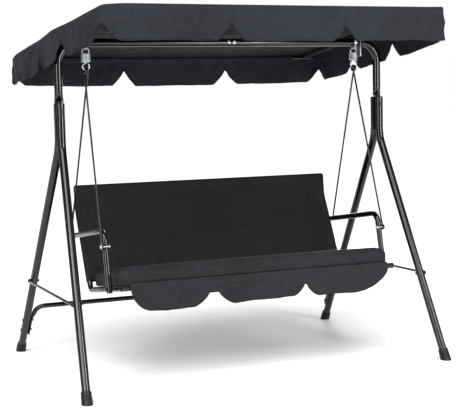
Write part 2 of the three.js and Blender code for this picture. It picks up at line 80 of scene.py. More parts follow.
softboxes = {
    "stripLeft": {"place": (-3.7, -2.4, 1.8), "size": (0.9, 2.6), "power": 85},
    "stripRight": {"place": (1.9, -4.3, 1.8), "size": (0.9, 2.6), "power": 165},
    "fillRear": {"place": (2.6, 3.6, 2.4), "size": (1.2, 2.4), "power": 80},
}
sun = {"strength": 3.7, "angle": 50, "from": (-0.4, -0.66, 1.1)}


def addLamp(name, kind, place, energy):
    data = bpy.data.lights.new(name, kind)
    data.energy = energy
    lamp = bpy.data.objects.new(name, data)
    scene.collection.objects.link(lamp)
    lamp.location = place
    lamp.rotation_euler = (Vector((0, 0, 0.75)) - lamp.location).to_track_quat("-Z", "Y").to_euler()
    return data


def addLights():
    for name, box in softboxes.items():
        data = addLamp(name, "AREA", box["place"], box["power"])
        data.shape = "RECTANGLE"
        data.size, data.size_y = box["size"]
    high = Vector(sun["from"]) * 5 + Vector((0, 0, 0.75))
    addLamp("highSun", "SUN", high, sun["strength"]).angle = math.radians(sun["angle"])


def linear(hexColour):
    channels = [int(hexColour[i:i + 2], 16) / 255 for i in (1, 3, 5)]
    return [c / 12.92 if c <= 0.04045 else ((c + 0.055) / 1.055) ** 2.4 for c in channels] + [1.0]


def addNode(tree, kind, sockets=(), **settings):
    made = tree.nodes.new("ShaderNode" + kind)
    for setting, value in settings.items():
        setattr(made, setting, value)
    for socket, value in dict(sockets).items():
        if isinstance(value, bpy.types.NodeSocket):
            tree.links.new(value, made.inputs[socket])
        else:
            made.inputs[socket].default_value = value
    return made


def startMaterial(name):
    material = bpy.data.materials.new(name)
    material.use_nodes = True
    tree = material.node_tree
    shader = tree.nodes["Principled BSDF"]
    place = addNode(tree, "TexCoord").outputs["Object"]
    return material, tree, shader, place


powderCoat = {"colour": "#060607", "thin": "#0e0e11", "scuff": "#26262b", "peel": 2.5, "wear": 120}


def makePowderCoatedSteel():
    # baked polyester powder: deep black with a tight gloss, a faint orange peel, dull scuffs and thin edges
    material, tree, shader, place = startMaterial("powderCoatedSteel")
    peel = addNode(tree, "TexNoise", {"Vector": place, "Scale": 1000 / powderCoat["peel"], "Detail": 2.0})
    patches = addNode(tree, "TexNoise", {"Vector": place, "Scale": 1000 / powderCoat["wear"], "Detail": 4.0})
    edges = addNode(tree, "NewGeometry").outputs["Pointiness"]
    thin = addNode(tree, "MapRange", {"Value": edges, "From Min": 0.53, "From Max": 0.62})
    scuffs = addNode(tree, "MapRange", {"Value": patches.outputs["Fac"], "From Min": 0.62, "From Max": 0.78})
    coat = addNode(tree, "Mix", {"Factor": scuffs.outputs[0], "A": linear(powderCoat["colour"]),
                                 "B": linear(powderCoat["thin"])}, data_type="RGBA")
    worn = addNode(tree, "Mix", {"Factor": thin.outputs[0], "A": coat.outputs["Result"],
                                 "B": linear(powderCoat["scuff"])}, data_type="RGBA")
    gloss = addNode(tree, "MapRange", {"Value": patches.outputs["Fac"], "From Min": 0.3, "From Max": 0.75,
                                       "To Min": 0.08, "To Max": 0.19})
    bump = addNode(tree, "Bump", {"Height": peel.outputs["Fac"], "Strength": 0.12, "Distance": 0.0004})
    tree.links.new(worn.outputs["Result"], shader.inputs["Base Color"])
    tree.links.new(gloss.outputs[0], shader.inputs["Roughness"])
    tree.links.new(bump.outputs[0], shader.inputs["Normal"])
    shader.inputs["IOR"].default_value = 1.5
    shader.inputs["Specular IOR Level"].default_value = 0.46
    return material


zincPlate = {"colour": "#d6d8db", "cool": "#b4bac2", "grain": 1.6, "bloom": 14}


def makeZincPlatedSteel():
    # bright passivated zinc: a pale cool metal, slightly cloudy, with a fine drawn grain in the gloss
    material, tree, shader, place = startMaterial("zincPlatedSteel")
    bloom = addNode(tree, "TexNoise", {"Vector": place, "Scale": 1000 / zincPlate["bloom"], "Detail": 4.0})
    grain = addNode(tree, "TexNoise", {"Vector": place, "Scale": 1000 / zincPlate["grain"], "Detail": 1.0})
    tint = addNode(tree, "Mix", {"Factor": bloom.outputs["Fac"], "A": linear(zincPlate["colour"]),
                                 "B": linear(zincPlate["cool"])}, data_type="RGBA")
    gloss = addNode(tree, "MapRange", {"Value": bloom.outputs["Fac"], "To Min": 0.2, "To Max": 0.46})
    bump = addNode(tree, "Bump", {"Height": grain.outputs["Fac"], "Strength": 0.15, "Distance": 0.0003})
    tree.links.new(tint.outputs["Result"], shader.inputs["Base Color"])
    tree.links.new(gloss.outputs[0], shader.inputs["Roughness"])
    tree.links.new(bump.outputs[0], shader.inputs["Normal"])
    shader.inputs["Metallic"].default_value = 1.0
    return material


blackZinc = {"colour": "#2c2c30", "rubbed": "#4a4b50", "bloom": 9}


def makeBlackZincSteel():
    # black passivated zinc on the small bolts: a dark soft metal with paler rubbed corners
    material, tree, shader, place = startMaterial("blackZincSteel")
    bloom = addNode(tree, "TexNoise", {"Vector": place, "Scale": 1000 / blackZinc["bloom"], "Detail": 4.0})
    edges = addNode(tree, "NewGeometry").outputs["Pointiness"]
    rubbed = addNode(tree, "MapRange", {"Value": edges, "From Min": 0.52, "From Max": 0.6})
    tint = addNode(tree, "Mix", {"Factor": rubbed.outputs[0], "A": linear(blackZinc["colour"]),
                                 "B": linear(blackZinc["rubbed"])}, data_type="RGBA")
    gloss = addNode(tree, "MapRange", {"Value": bloom.outputs["Fac"], "To Min": 0.3, "To Max": 0.5})
    tree.links.new(tint.outputs["Result"], shader.inputs["Base Color"])
    tree.links.new(gloss.outputs[0], shader.inputs["Roughness"])
    shader.inputs["Metallic"].default_value = 1.0
    return material


mouldedPlastic = {"colour": "#0c0c0d", "scuffed": "#1a1a1c", "pebble": 1.8, "scuffs": 30}


def makeMouldedPolypropylene():
    # injection moulded polypropylene: matt black with a fine spark-eroded pebble, greyer where it is scuffed
    material, tree, shader, place = startMaterial("mouldedPolypropylene")
    pebble = addNode(tree, "TexVoronoi", {"Vector": place, "Scale": 1000 / mouldedPlastic["pebble"]})
    scuffs = addNode(tree, "TexNoise",
                     {"Vector": place, "Scale": 1000 / mouldedPlastic["scuffs"], "Detail": 5.0})
    rubbed = addNode(tree, "MapRange", {"Value": scuffs.outputs["Fac"], "From Min": 0.5, "From Max": 0.72})
    tint = addNode(tree, "Mix", {"Factor": rubbed.outputs[0], "A": linear(mouldedPlastic["colour"]),
                                 "B": linear(mouldedPlastic["scuffed"])}, data_type="RGBA")
    gloss = addNode(tree, "MapRange", {"Value": rubbed.outputs[0], "To Min": 0.42, "To Max": 0.6})
    bump = addNode(tree, "Bump", {"Height": pebble.outputs["Distance"], "Strength": 0.2, "Distance": 0.0003})
    tree.links.new(tint.outputs["Result"], shader.inputs["Base Color"])
    tree.links.new(gloss.outputs[0], shader.inputs["Roughness"])
    tree.links.new(bump.outputs[0], shader.inputs["Normal"])
    shader.inputs["IOR"].default_value = 1.49
    shader.inputs["Specular IOR Level"].default_value = 0.25
    return material


# a 600 denier plain weave has a thread every 0.55 mm, too fine to show, so it is drawn at 1.8 mm
weave = {"thread": 1.8, "slub": 95, "fade": 420, "crease": 42, "pull": 9}


def makeWovenPolyester(name, yarn, shadow, dusty):
    # PU backed woven polyester: matt black, slubs along both threads, soft creases and a thin cool sheen
    material, tree, shader, place = startMaterial(name)
    drift = addNode(tree, "TexNoise", {"Vector": place, "Scale": 1000 / weave["pull"], "Detail": 1.0})
    pulled = addNode(tree, "VectorMath", {0: drift.outputs["Color"], 1: (0.0012, 0.0012, 0.0012), 2: place},
                     operation="MULTIPLY_ADD")
    turns = 2 * math.pi * 1000 / (2 * weave["thread"])
    phase = addNode(tree, "VectorMath", {0: pulled.outputs[0], 1: (turns, turns, turns)},
                    operation="MULTIPLY")
    waves = addNode(tree, "VectorMath", {0: phase.outputs[0]}, operation="SINE")
    threads = addNode(tree, "VectorMath", {0: waves.outputs[0], 1: (1, 1, 1)}, operation="DOT_PRODUCT")
    lift = addNode(tree, "MapRange", {"Value": threads.outputs["Value"], "From Min": -2.0, "From Max": 2.0})
    slub = 1000 / weave["slub"]
    acrossPlace = addNode(tree, "VectorMath", {0: place, 1: (slub, slub, slub * 7)}, operation="MULTIPLY")
    alongPlace = addNode(tree, "VectorMath", {0: place, 1: (slub * 7, slub * 2, slub)}, operation="MULTIPLY")
    weft = addNode(tree, "TexNoise", {"Vector": acrossPlace.outputs[0], "Scale": 1.0, "Detail": 2.0})
    warp = addNode(tree, "TexNoise", {"Vector": alongPlace.outputs[0], "Scale": 1.0, "Detail": 2.0})
    slubs = addNode(tree, "Math", {0: weft.outputs["Fac"], 1: warp.outputs["Fac"]}, operation="ADD")
    mottle = addNode(tree, "MapRange", {"Value": slubs.outputs[0], "From Min": 0.82, "From Max": 1.2})
    fade = addNode(tree, "TexNoise", {"Vector": place, "Scale": 1000 / weave["fade"], "Detail": 3.0})
    aged = addNode(tree, "MapRange", {"Value": fade.outputs["Fac"], "From Min": 0.35, "From Max": 0.7,
                                      "To Max": 0.6})
    body = addNode(tree, "Mix", {"Factor": lift.outputs[0], "A": linear(shadow), "B": linear(yarn)},
                   data_type="RGBA")
    mottled = addNode(tree, "Mix", {"Factor": mottle.outputs[0], "A": body.outputs["Result"],
                                    "B": linear(yarn)}, data_type="RGBA")
    faded = addNode(tree, "Mix", {"Factor": aged.outputs[0], "A": mottled.outputs["Result"],
                                  "B": linear(dusty)}, data_type="RGBA")
    creases = addNode(tree, "TexNoise", {"Vector": place, "Scale": 1000 / weave["crease"], "Detail": 4.0,
                                         "Roughness": 0.55})
    crinkle = addNode(tree, "Bump", {"Height": creases.outputs["Fac"], "Strength": 1.0, "Distance": 0.016})
    cloth = addNode(tree, "Bump", {"Height": lift.outputs[0], "Strength": 0.3, "Distance": 0.0004,
                                   "Normal": crinkle.outputs[0]})
    gloss = addNode(tree, "MapRange", {"Value": mottle.outputs[0], "To Min": 0.7, "To Max": 0.88})
    tree.links.new(faded.outputs["Result"], shader.inputs["Base Color"])
    tree.links.new(gloss.outputs[0], shader.inputs["Roughness"])
    tree.links.new(cloth.outputs[0], shader.inputs["Normal"])
    shader.inputs["Specular IOR Level"].default_value = 0.16
    shader.inputs["Sheen Weight"].default_value = 0.03
    shader.inputs["Sheen Roughness"].default_value = 0.45
    shader.inputs["Sheen Tint"].default_value = linear("#aab0c4")
    shader.inputs["IOR"].default_value = 1.45
    return material


def makeSewingThread():
    # twisted bonded polyester thread: a shade lighter than the cloth, with the twist catching the light
    material, tree, shader, place = startMaterial("polyesterThread")
    twist = addNode(tree, "TexWave", {"Vector": place, "Scale": 300.0, "Distortion": 1.5})
    tint = addNode(tree, "Mix",
                   {"Factor": twist.outputs["Fac"], "A": linear("#15161a"), "B": linear("#25262b")},
                   data_type="RGBA")
    bump = addNode(tree, "Bump", {"Height": twist.outputs["Fac"], "Strength": 0.3, "Distance": 0.0003})
    tree.links.new(tint.outputs["Result"], shader.inputs["Base Color"])
    tree.links.new(bump.outputs[0], shader.inputs["Normal"])
    shader.inputs["Roughness"].default_value = 0.55
    return material


def makePaleFloor():
    # matt white studio board
    material, tree, shader, place = startMaterial("paintedBoard")
    mottle = addNode(tree, "TexNoise", {"Vector": place, "Scale": 1.5, "Detail": 3.0})
    tint = addNode(tree, "Mix",
                   {"Factor": mottle.outputs["Fac"], "A": linear("#f0f0f2"), "B": linear("#f5f5f6")},
                   data_type="RGBA")
    # painted light: the board turns paler away from the middle so the far floor, which gets less light, still
    # reads white
    away = addNode(tree, "VectorMath", {0: place}, operation="LENGTH")
    paintedFarLight = addNode(tree, "MapRange", {"Value": away.outputs["Value"], "From Min": 2.0, "From Max": 6.0})
    faded = addNode(tree, "Mix",
                    {"Factor": paintedFarLight.outputs[0], "A": tint.outputs["Result"], "B": linear("#fafafa")},
                    data_type="RGBA")
    tree.links.new(faded.outputs["Result"], shader.inputs["Base Color"])
    shader.inputs["Roughness"].default_value = 0.9
    return material


def addFloorAndSky():
    data = bpy.data.meshes.new("floor")
    reach = 30
    data.from_pydata([(-reach, -reach, 0), (reach, -reach, 0), (reach, reach, 0), (-reach, reach, 0)], [],
                     [(0, 1, 2, 3)])
    data.materials.append(makePaleFloor())
    floor = bpy.data.objects.new("floor", data)
    floor.location.z = -0.0005
    scene.collection.objects.link(floor)
    world = bpy.data.worlds.new("studio")
    world.use_nodes = True
    scene.world = world
    tree = world.node_tree
    back = tree.nodes["Background"]
    back.inputs["Color"].default_value = linear("#f3f5f8")
    back.inputs["Strength"].default_value = 0.32
    wall = addNode(tree, "Background", {"Color": linear("#ffffff"), "Strength": 1.0})
    seen = addNode(tree, "LightPath").outputs["Is Camera Ray"]
    mixed = addNode(tree, "MixShader", {0: seen, 1: back.outputs[0], 2: wall.outputs[0]})
    tree.links.new(mixed.outputs[0], tree.nodes["World Output"].inputs["Surface"])
    scene.view_settings.view_transform = "Standard"


addCamera()
addLights()
addFloorAndSky()
blackSteel = makePowderCoatedSteel()
zinc = makeZincPlatedSteel()
darkZinc = makeBlackZincSteel()
plastic = makeMouldedPolypropylene()
canopyCloth = makeWovenPolyester("wovenPolyesterCanopy", "#1e2025", "#0f1013", "#24262c")
# the lining colours are painted shade: far darker than the canopy cloth so the underside reads as shaded
canopyShadeLining = makeWovenPolyester("polyesterLiningPaintedShade", "#0b0b0c", "#080809", "#0f0f10")
seatCloth = makeWovenPolyester("wovenPolyesterSeat", "#1f1f22", "#0a0a0c", "#232326")
seatEndCloth = makeWovenPolyester("wovenPolyesterSeatEnd", "#292822", "#100f0c", "#302e27")
backCloth = makeWovenPolyester("wovenPolyesterBack", "#1a1a1d", "#09090a", "#1e1e20")
threadBlack = makeSewingThread()
print("camera, light, floor and materials made")


def bentPath(corners, radii, step=5.0):
    corners = [Vector(c) for c in corners]
    path = [corners[0]]
    for before, corner, after, radius in zip(corners, corners[1:], corners[2:], radii):
        into, out = (corner - before).normalized(), (after - corner).normalized()
        turn = into.angle(out)
        start = corner - into * radius * math.tan(turn / 2)
        axis = into.cross(out).normalized()
        centre = start + axis.cross(into) * radius
        count = max(2, round(math.degrees(turn) / step))
        path += [centre + Matrix.Rotation(turn * k / count, 3, axis) @ (start - centre)
                 for k in range(count + 1)]
    return path + [corners[-1]]


def curveThrough(points, perSpan=4):
    points = [Vector(p) for p in points]
    smooth = []
    for i in range(len(points) - 1):
        a, b = points[max(i - 1, 0)], points[i]
        c, d = points[i + 1], points[min(i + 2, len(points) - 1)]
        for k in range(perSpan):
            t = k / perSpan
            smooth.append(0.5 * (2 * b + (c - a) * t + (2 * a - 5 * b + 4 * c - d) * t * t
                                 + (3 * b - a - 3 * c + d) * t ** 3))
    return smooth + [points[-1]]


# radius is a number, or a function of the point
# that gives the two half sizes, along `across` and square to it
def addSweep(bm, path, radius, sides=28, across=None, bore=0.0, chamfer=0.7, roundness=1.0):
    path = [Vector(p) for p in path]
    steps = [(b - a).normalized() for a, b in zip(path, path[1:])]
    tangents = [steps[0]] + [(a + b).normalized() for a, b in zip(steps, steps[1:])] + [steps[-1]]
    normal = Vector(across) if across else tangents[0].orthogonal()
    rings = []
    for point, tangent in zip(path, tangents):
        normal = (normal - tangent * normal.dot(tangent)).normalized()
        deep, wide = radius(point) if callable(radius) else (radius, radius)
        rings.append((point, normal.copy(), tangent.cross(normal), deep, wide))

    def end(ring, inward):
        point, n, b, deep, wide = ring
        rim = [(point, n, b, deep - chamfer, wide - chamfer), (point + inward * chamfer, n, b, deep, wide)]
        if bore:
            return [(point + inward * 30, n, b, bore, bore), (point, n, b, bore, bore)] + rim
        return rim

    rings = end(rings[0], tangents[0]) + rings[1:-1] + end(rings[-1], -tangents[-1])[::-1]
    loops = []
    for point, n, b, deep, wide in rings:
        loop = []
        for k in range(sides):
            a = 2 * math.pi * k / sides
            c, s = math.cos(a), math.sin(a)
            power = roundness if deep * 2 < wide or wide * 2 < deep else 1.0
            c, s = math.copysign(abs(c) ** power, c), math.copysign(abs(s) ** power, s)
            loop.append(bm.verts.new((point + n * deep * c + b * wide * s) * mm))
        loops.append(loop)
    for low, high in zip(loops, loops[1:]):
        for k in range(sides):
            bm.faces.new((low[k - 1], low[k], high[k], high[k - 1]))
    bm.faces.new(loops[0])
    bm.faces.new(loops[-1])


# profile is a list of (radius, height, hexagonal or not) from one end to the other
def addTurned(bm, profile, origin, axis, sides=36):
    axis = Vector(axis).normalized()
    n = axis.orthogonal().normalized()
    b = axis.cross(n)
    origin = Vector(origin)
    loops = []
    for radius, height, *hexagonal in profile:
        if radius == 0:
            loops.append([bm.verts.new((origin + axis * height) * mm)])
            continue
        loop = []
        for k in range(sides):
            a = 2 * math.pi * k / sides
            corner = math.cos(math.pi / 6) / math.cos(a % (math.pi / 3) - math.pi / 6)
            r = radius * (corner if hexagonal and hexagonal[0] else 1)
            loop.append(bm.verts.new((origin + axis * height + (n * math.cos(a) + b * math.sin(a)) * r) * mm))
        loops.append(loop)
    for low, high in zip(loops, loops[1:]):
        for k in range(sides):
            corners = [low[(k - 1) % len(low)], low[k % len(low)], high[k % len(high)],
                       high[(k - 1) % len(high)]]
            bm.faces.new(list(dict.fromkeys(corners)))
    for loop in (loops[0], loops[-1]):
        if len(loop) > 1:
            bm.faces.new(loop)


# flat plate square to X: outline and round holes are given in Y and Z
def addPlate(bm, outline, holes, x, thickness):
    edges = []
    rounds = [[(cy + r * math.cos(k * math.pi / 18), cz + r * math.sin(k * math.pi / 18)) for k in range(36)]
              for cy, cz, r in holes]
    for loop in [outline] + rounds:
        verts = [bm.verts.new(Vector((x, y, z)) * mm) for y, z in loop]
        edges += [bm.edges.new((verts[k - 1], verts[k])) for k in range(len(verts))]
    filled = bmesh.ops.triangle_fill(bm, edges=edges, use_beauty=True)
    flat = [g for g in filled["geom"] if isinstance(g, bmesh.types.BMFace)]
    grown = bmesh.ops.extrude_face_region(bm, geom=flat, use_keep_orig=True)
    lifted = [g for g in grown["geom"] if isinstance(g, bmesh.types.BMVert)]
    bmesh.ops.translate(bm, vec=Vector((thickness, 0, 0)) * mm, verts=lifted)


def roundOutline(cy, cz, r, start, stop, count=14):
    angles = [math.radians(start + (stop - start) * k / count) for k in range(count + 1)]
    return [(cy + r * math.cos(a), cz + r * math.sin(a)) for a in angles]


def makePiece(name, bm, material, body, stands=(), sharp=34, fix=True):
    if fix:
        bmesh.ops.recalc_face_normals(bm, faces=bm.faces)
    mesh = bpy.data.meshes.new(name)
    bm.to_mesh(mesh)
    bm.free()
    mesh.shade_smooth()
    mesh.set_sharp_from_angle(angle=math.radians(sharp))
    mesh.materials.append(material)
    piece = bpy.data.objects.new(name, mesh)
    scene.collection.objects.link(piece)
    if body:
        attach(piece, body)
    if stands:
        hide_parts(*stands)
    return piece


# the right-hand piece and its mirror image
def makePair(name, build, material, body, node):
    pieces = []
    for side, tail, sign in (("Right", "_r", 1), ("Left", "_l", -1)):
        bm = bmesh.new()
        build(bm)
        bmesh.ops.scale(bm, vec=(sign, 1, 1), verts=bm.verts)
        pieces.append(makePiece(name + side, bm, material, body, [node + tail] if node else []))
    return pieces


def easeIn(value, low, high):
    t = min(1.0, max(0.0, (value - low) / (high - low)))
    return t * t * (3 - 2 * t)


def mix(a, b, t):
    return a + (b - a) * t


bolt = {"shank": 4.0, "head": 7.5, "nut": 7.3, "washer": 9.2}


def addBolt(bm, seat, direction, grip, scale=1.0, domed=False):
    shank, head, nut, washer = (bolt[k] * scale for k in ("shank", "head", "nut", "washer"))
    hexHead = [(0, -5.2), (head * 0.72, -5.2), (head * 0.98, -4.5, True), (head, -4.2, True),
               (head, -1.2, True),
               (washer, -1.2), (washer + 0.2, -0.7), (washer, -0.1)]
    domeHead = [(0, -3.0), (head * 0.4, -2.8), (head * 0.75, -2.1), (head * 0.95, -1.1), (head, -0.1)]
    addTurned(bm, (domeHead if domed else hexHead) + [
        (shank, -0.1), (shank, grip + 0.1),
        (nut, grip + 0.1, True), (nut, grip + 4.4, True), (nut * 0.8, grip + 5.2), (shank, grip + 5.2),
        (shank, grip + 5.5), (shank - 0.5, grip + 5.8), (shank, grip + 6.1), (shank - 0.5, grip + 6.4),
        (shank - 0.2, grip + 6.8), (0, grip + 7)], seat, direction)


stand = {
    "footX": 824.5, "footFrontY": -547.5, "footRearY": 545.6,
    "uprightX": 767.5, "beamY": -85.0, "beamZ": 1417.0, "beamBend": 85.0,
    "tube": 17.5, "wall": 1.2,
    "legTopZ": 1166.0, "legBendZ": 985.0, "legBend": 180.0, "legPair": 20.3,
    "strapHalf": 20.0, "strapThick": 2.5, "strapEndZ": 1012.5, "spliceZ": 1130.0,
    "beamJoint": -15.0, "beamBolts": (8.0, 33.0),
    "capLength": 50.0, "footInset": 28.0,
    "barZ": 233.0, "barEndZ": 92.0, "bar": 11.0, "barBolts": (165.0, 115.0),
    "rodZ": 367.0, "rod": 6.0,
}
footRearY, footFrontY = stand["footRearY"], stand["footFrontY"]
beamY, beamZ = stand["beamY"], stand["beamZ"]


def legEnds(footY):
    y = beamY + math.copysign(stand["legPair"], footY - beamY)
    x = stand["uprightX"]
    return (Vector((x, y, stand["legTopZ"])), Vector((x, y, stand["legBendZ"])),
            Vector((stand["footX"], footY, 0)))


def legAt(footY, z):
    _, bend, foot = legEnds(footY)
    return foot.lerp(bend, z / bend.z)


def buildLeg(bm, footY):
    top, bend, foot = legEnds(footY)
    end = foot + (bend - foot).normalized() * stand["footInset"]
    across = (top - bend).cross(foot - bend).normalized()
    addSweep(bm, bentPath([top, bend, end], [stand["legBend"]], 2.5), stand["tube"], 40, across,
             bore=stand["tube"] - stand["wall"])


footCap = {"flare": 23.0, "top": 21.4, "rib": 0.7}


def buildFootCap(bm, footY):
    _, bend, foot = legEnds(footY)
    wide, slim, long, rib = footCap["flare"], footCap["top"], stand["capLength"], footCap["rib"]
    profile = [(0, -30), (wide, -30), (wide, 3), (wide - 0.3, 5)]
    for h in (12, 21, 30):  # moulded grip rings
        r = mix(wide, slim, h / long)
        profile += [(r - 0.5, h - 3), (r + rib, h - 1.6), (r + rib, h + 1.6), (r - 0.5, h + 3)]
    profile += [(slim, long - 6), (slim, long - 1.6), (slim - 0.8, long - 0.3), (slim - 1.8, long),
                (stand["tube"] + 0.5, long), (stand["tube"] + 0.35, long - 1),
                (stand["tube"] + 0.35, 24), (0, 24)]
    addTurned(bm, profile, foot, bend - foot, 48)
    cut = bmesh.ops.bisect_plane(bm, geom=bm.verts[:] + bm.edges[:] + bm.faces[:], plane_co=(0, 0, 0.0002),
                                 plane_no=(0, 0, -1), clear_outer=True)
    rim = [g for g in cut["geom_cut"] if isinstance(g, bmesh.types.BMEdge)]
    bmesh.ops.contextual_create(bm, geom=rim)


def topTubeSize(point):
    t = easeIn(1206 - point.z, 0, 34)
    return mix(stand["tube"], stand["strapThick"], t), mix(stand["tube"], stand["strapHalf"], t)


def buildTopTube(bm, side):
    x = stand["uprightX"]
    start = stand["beamJoint"] if side < 0 else stand["beamJoint"] + 0.3
    path = bentPath([(start, beamY, beamZ), (side * x, beamY, beamZ), (side * x, beamY, stand["strapEndZ"])],
                    [stand["beamBend"]], 4)
    presses = [Vector((side * x, beamY, 1208 - 3 * k)) for k in range(14)]
    path[-1:-1] = presses
    addSweep(bm, path, topTubeSize, 40, (0, 1, 0), chamfer=0.9, roundness=0.62)


def buildCrossBar(bm):
    inset = stand["tube"] + stand["bar"] + 2
    tab = stand["tube"] + 4.4
    low, high = legAt(footRearY, stand["barEndZ"]), legAt(footRearY, stand["barZ"])
    corners = [(-low.x + inset, low.y, low.z), (-high.x + inset, high.y, high.z),
               (high.x - inset, high.y, high.z), (low.x - inset, low.y, low.z)]
    path = bentPath(corners, [45, 45], 6)
    right = [legAt(footRearY, z) for z in range(204, 168, -3)]
    left = [Vector((-p.x + inset, p.y, p.z)) for p in right[::-1]]
    path = [path[0]] + left + path[1:-1] + [Vector((p.x - inset, p.y, p.z)) for p in right] + [path[-1]]

    def pressed(point):
        return easeIn(202 - point.z, 0, 26) if abs(point.x) > 700 else 0.0

    path = [p + Vector((math.copysign((inset - tab) * pressed(p), p.x), 0, 0)) for p in path]
    plane = (Vector(corners[1]) - Vector(corners[0])).cross(
        Vector(corners[2]) - Vector(corners[1])).normalized()

    def size(point):
        t = pressed(point)
        return mix(stand["bar"], 13.5, t), mix(stand["bar"], 3.6, t)

    addSweep(bm, path, size, 32, plane, roundness=0.65)


def buildSideRod(bm):
    z = stand["rodZ"]
    front, rear = legAt(footFrontY, z), legAt(footRearY, z)
    faceX = front.x + stand["tube"] + 0.3
    for p in (front, rear):  # hammered flat eyes
        addPlate(bm, roundOutline(p.y, z, 11, 0, 350, 35), [(p.y, z, 4.2)], faceX, 4.6)
    x = faceX + 2.6

    def size(point):
        near = min(abs(point.y - front.y), abs(point.y - rear.y))
        t = 1 - easeIn(near, 12, 34)
        return mix(stand["rod"], 2.4, t), mix(stand["rod"], 7.8, t)

    ends = [front.y + 9, front.y + 14, front.y + 20, front.y + 27, front.y + 34]
    backs = [rear.y - 34, rear.y - 27, rear.y - 20, rear.y - 14, rear.y - 9]
    addSweep(bm, [(x + 4.1 * easeIn(min(abs(y - front.y), abs(y - rear.y)), 10, 34), y, z)
                  for y in ends + backs],
             size, 20, (1, 0, 0))


def makeStand():
    for name, footY in (("Front", footFrontY), ("Rear", footRearY)):
        low = name.lower()
        makePair("leg" + name, lambda bm: buildLeg(bm, footY), blackSteel, "frame", "leg_" + low)
        makePair("foot" + name, lambda bm: buildFootCap(bm, footY), plastic, "frame", "foot_" + low)
        p = legAt(footY, stand["rodZ"])
        seat = (p.x + stand["tube"] + 5.6, p.y, stand["rodZ"])
        makePair("sideBolt" + name, lambda bm: addBolt(bm, seat, (-1, 0, 0), 2 * stand["tube"] + 6), darkZinc,
                 "frame", "side_bolt_" + low)
    for side, sign in (("Right", 1), ("Left", -1)):
        bm = bmesh.new()
        buildTopTube(bm, sign)
        makePiece("topTube" + side, bm, blackSteel, "frame", ["top_tube_" + side[0].lower()])
    for k, x in enumerate(stand["beamBolts"]):
        bm = bmesh.new()
        addBolt(bm, (x, beamY - stand["tube"] - 0.3, beamZ), (0, 1, 0), 2 * stand["tube"] + 0.6, 0.78)
        makePiece(f"beamBolt{k + 1}", bm, zinc, "frame", [f"beam_bolt_{k + 1}"])
    depth = stand["legPair"] + stand["tube"] + 0.3
    makePair("spliceBolt",
             lambda bm: addBolt(bm, (stand["uprightX"], beamY - depth, stand["spliceZ"]), (0, 1, 0),
                                2 * depth),
             darkZinc, "frame", "splice_bolt")
    bm = bmesh.new()
    buildCrossBar(bm)
    makePiece("crossBar", bm, blackSteel, "frame", ["cross_bar"])
    for k, z in enumerate(stand["barBolts"]):
        p = legAt(footRearY, z)
        makePair(f"crossBolt{k + 1}",
                 lambda bm: addBolt(bm, (p.x + stand["tube"] + 0.3, p.y, z), (-1, 0, 0),
                                    2 * stand["tube"] + 9.1,
                                    domed=True),
                 darkZinc, "frame", f"cross_bolt_{k + 1}")
    makePair("sideRod", buildSideRod, blackSteel, "frame", "side_rod")
    print("stand made")


hanger = {
    "springX": 645.0, "pivotZ": 1394.8, "wire": 2.5, "coil": 17.0, "coilTopZ": 1370.0, "turns": 6.25,
    "pitch": 5.45, "hook": 15.0, "lowHookZ": 1318.5,
    "rod": 4.0, "eye": 11.0, "eyeTopZ": 1311.4, "eyeStep": 4.4,
    "armX": 648.5, "armTube": 12.5, "boltFront": (-294.0, 577.0), "boltRear": (162.0, 579.0),
}


def buildShackle(bm):
    x, r = hanger["springX"], stand["tube"] + 3.2
    low = hanger["pivotZ"] - hanger["wire"] - 2.8
    corners = [(x, beamY - r, beamZ + 7), (x, beamY - r, low), (x, beamY + r, low), (x, beamY + r, beamZ + 7)]
    addSweep(bm, bentPath(corners, [13.8, 13.8], 8), 2.5, 14, (1, 0, 0))
    addBolt(bm, (x, beamY - r - 2.2, beamZ), (0, 1, 0), 2 * r + 4.4)


def buildSpring(bm):
    x, r = hanger["springX"], hanger["hook"]
    hookZ = hanger["pivotZ"] - r
    points = [(x + r * math.sin(a), beamY, hookZ + r * math.cos(a)) for a in
              [-2.5 + 4.5 * k / 22 for k in range(23)]]
    steps = round(hanger["turns"] * 20)
    for k in range(1, steps + 1):
        a = math.pi / 2 + 2 * math.pi * hanger["turns"] * k / steps
        points.append((x + hanger["coil"] * math.sin(a), beamY + hanger["coil"] * math.cos(a),
                       hanger["coilTopZ"] - hanger["pitch"] * hanger["turns"] * k / steps))
    points += [(x + r * math.sin(a), beamY, hanger["lowHookZ"] + r * math.cos(a)) for a in
               [math.pi - 1.9 + 4.3 * k / 22 for k in range(23)]]
    addSweep(bm, curveThrough(points, 3), hanger["wire"], 12)


def buildHangerRod(bm, boltAt, stepX):
    eye, foot = Vector((beamY, hanger["eyeTopZ"] - hanger["eye"])), Vector(boltAt)
    down = foot - eye
    turn = 1 if stepX > 0 else -1
    start = math.atan2(down.y, down.x) + turn * math.acos(hanger["eye"] / down.length)
    loop = [start + turn * math.radians(300) * k / 40 for k in range(41)]
    faceX = hanger["armX"] + hanger["armTube"] + 0.4
    topX = hanger["springX"] + stepX
    around = [Vector((topX, eye.x + hanger["eye"] * math.cos(a), eye.y + hanger["eye"] * math.sin(a)))
              for a in loop]
    base = Vector((faceX + 3.4, foot.x, foot.y))
    along = (around[0] - base).normalized()
    shaft = [base + along * d for d in (9, 14, 20, 27, 36)]

    def size(point):
        t = 1 - easeIn((point - base).length, 11, 32)
        return mix(hanger["rod"], 2.6, t), mix(hanger["rod"], 6.4, t)

    addSweep(bm, shaft + around, size, 16, (1, 0, 0))
    addPlate(bm, roundOutline(foot.x, foot.y, 12.6, 0, 350, 35), [(foot.x, foot.y, 4.2)], faceX, 5.4)


def canopyLine(y):
    (fy, fz), (ry, rz) = canopy["front"], canopy["rear"]
    return fz + (rz - fz) * (y - fy) / (ry - fy)


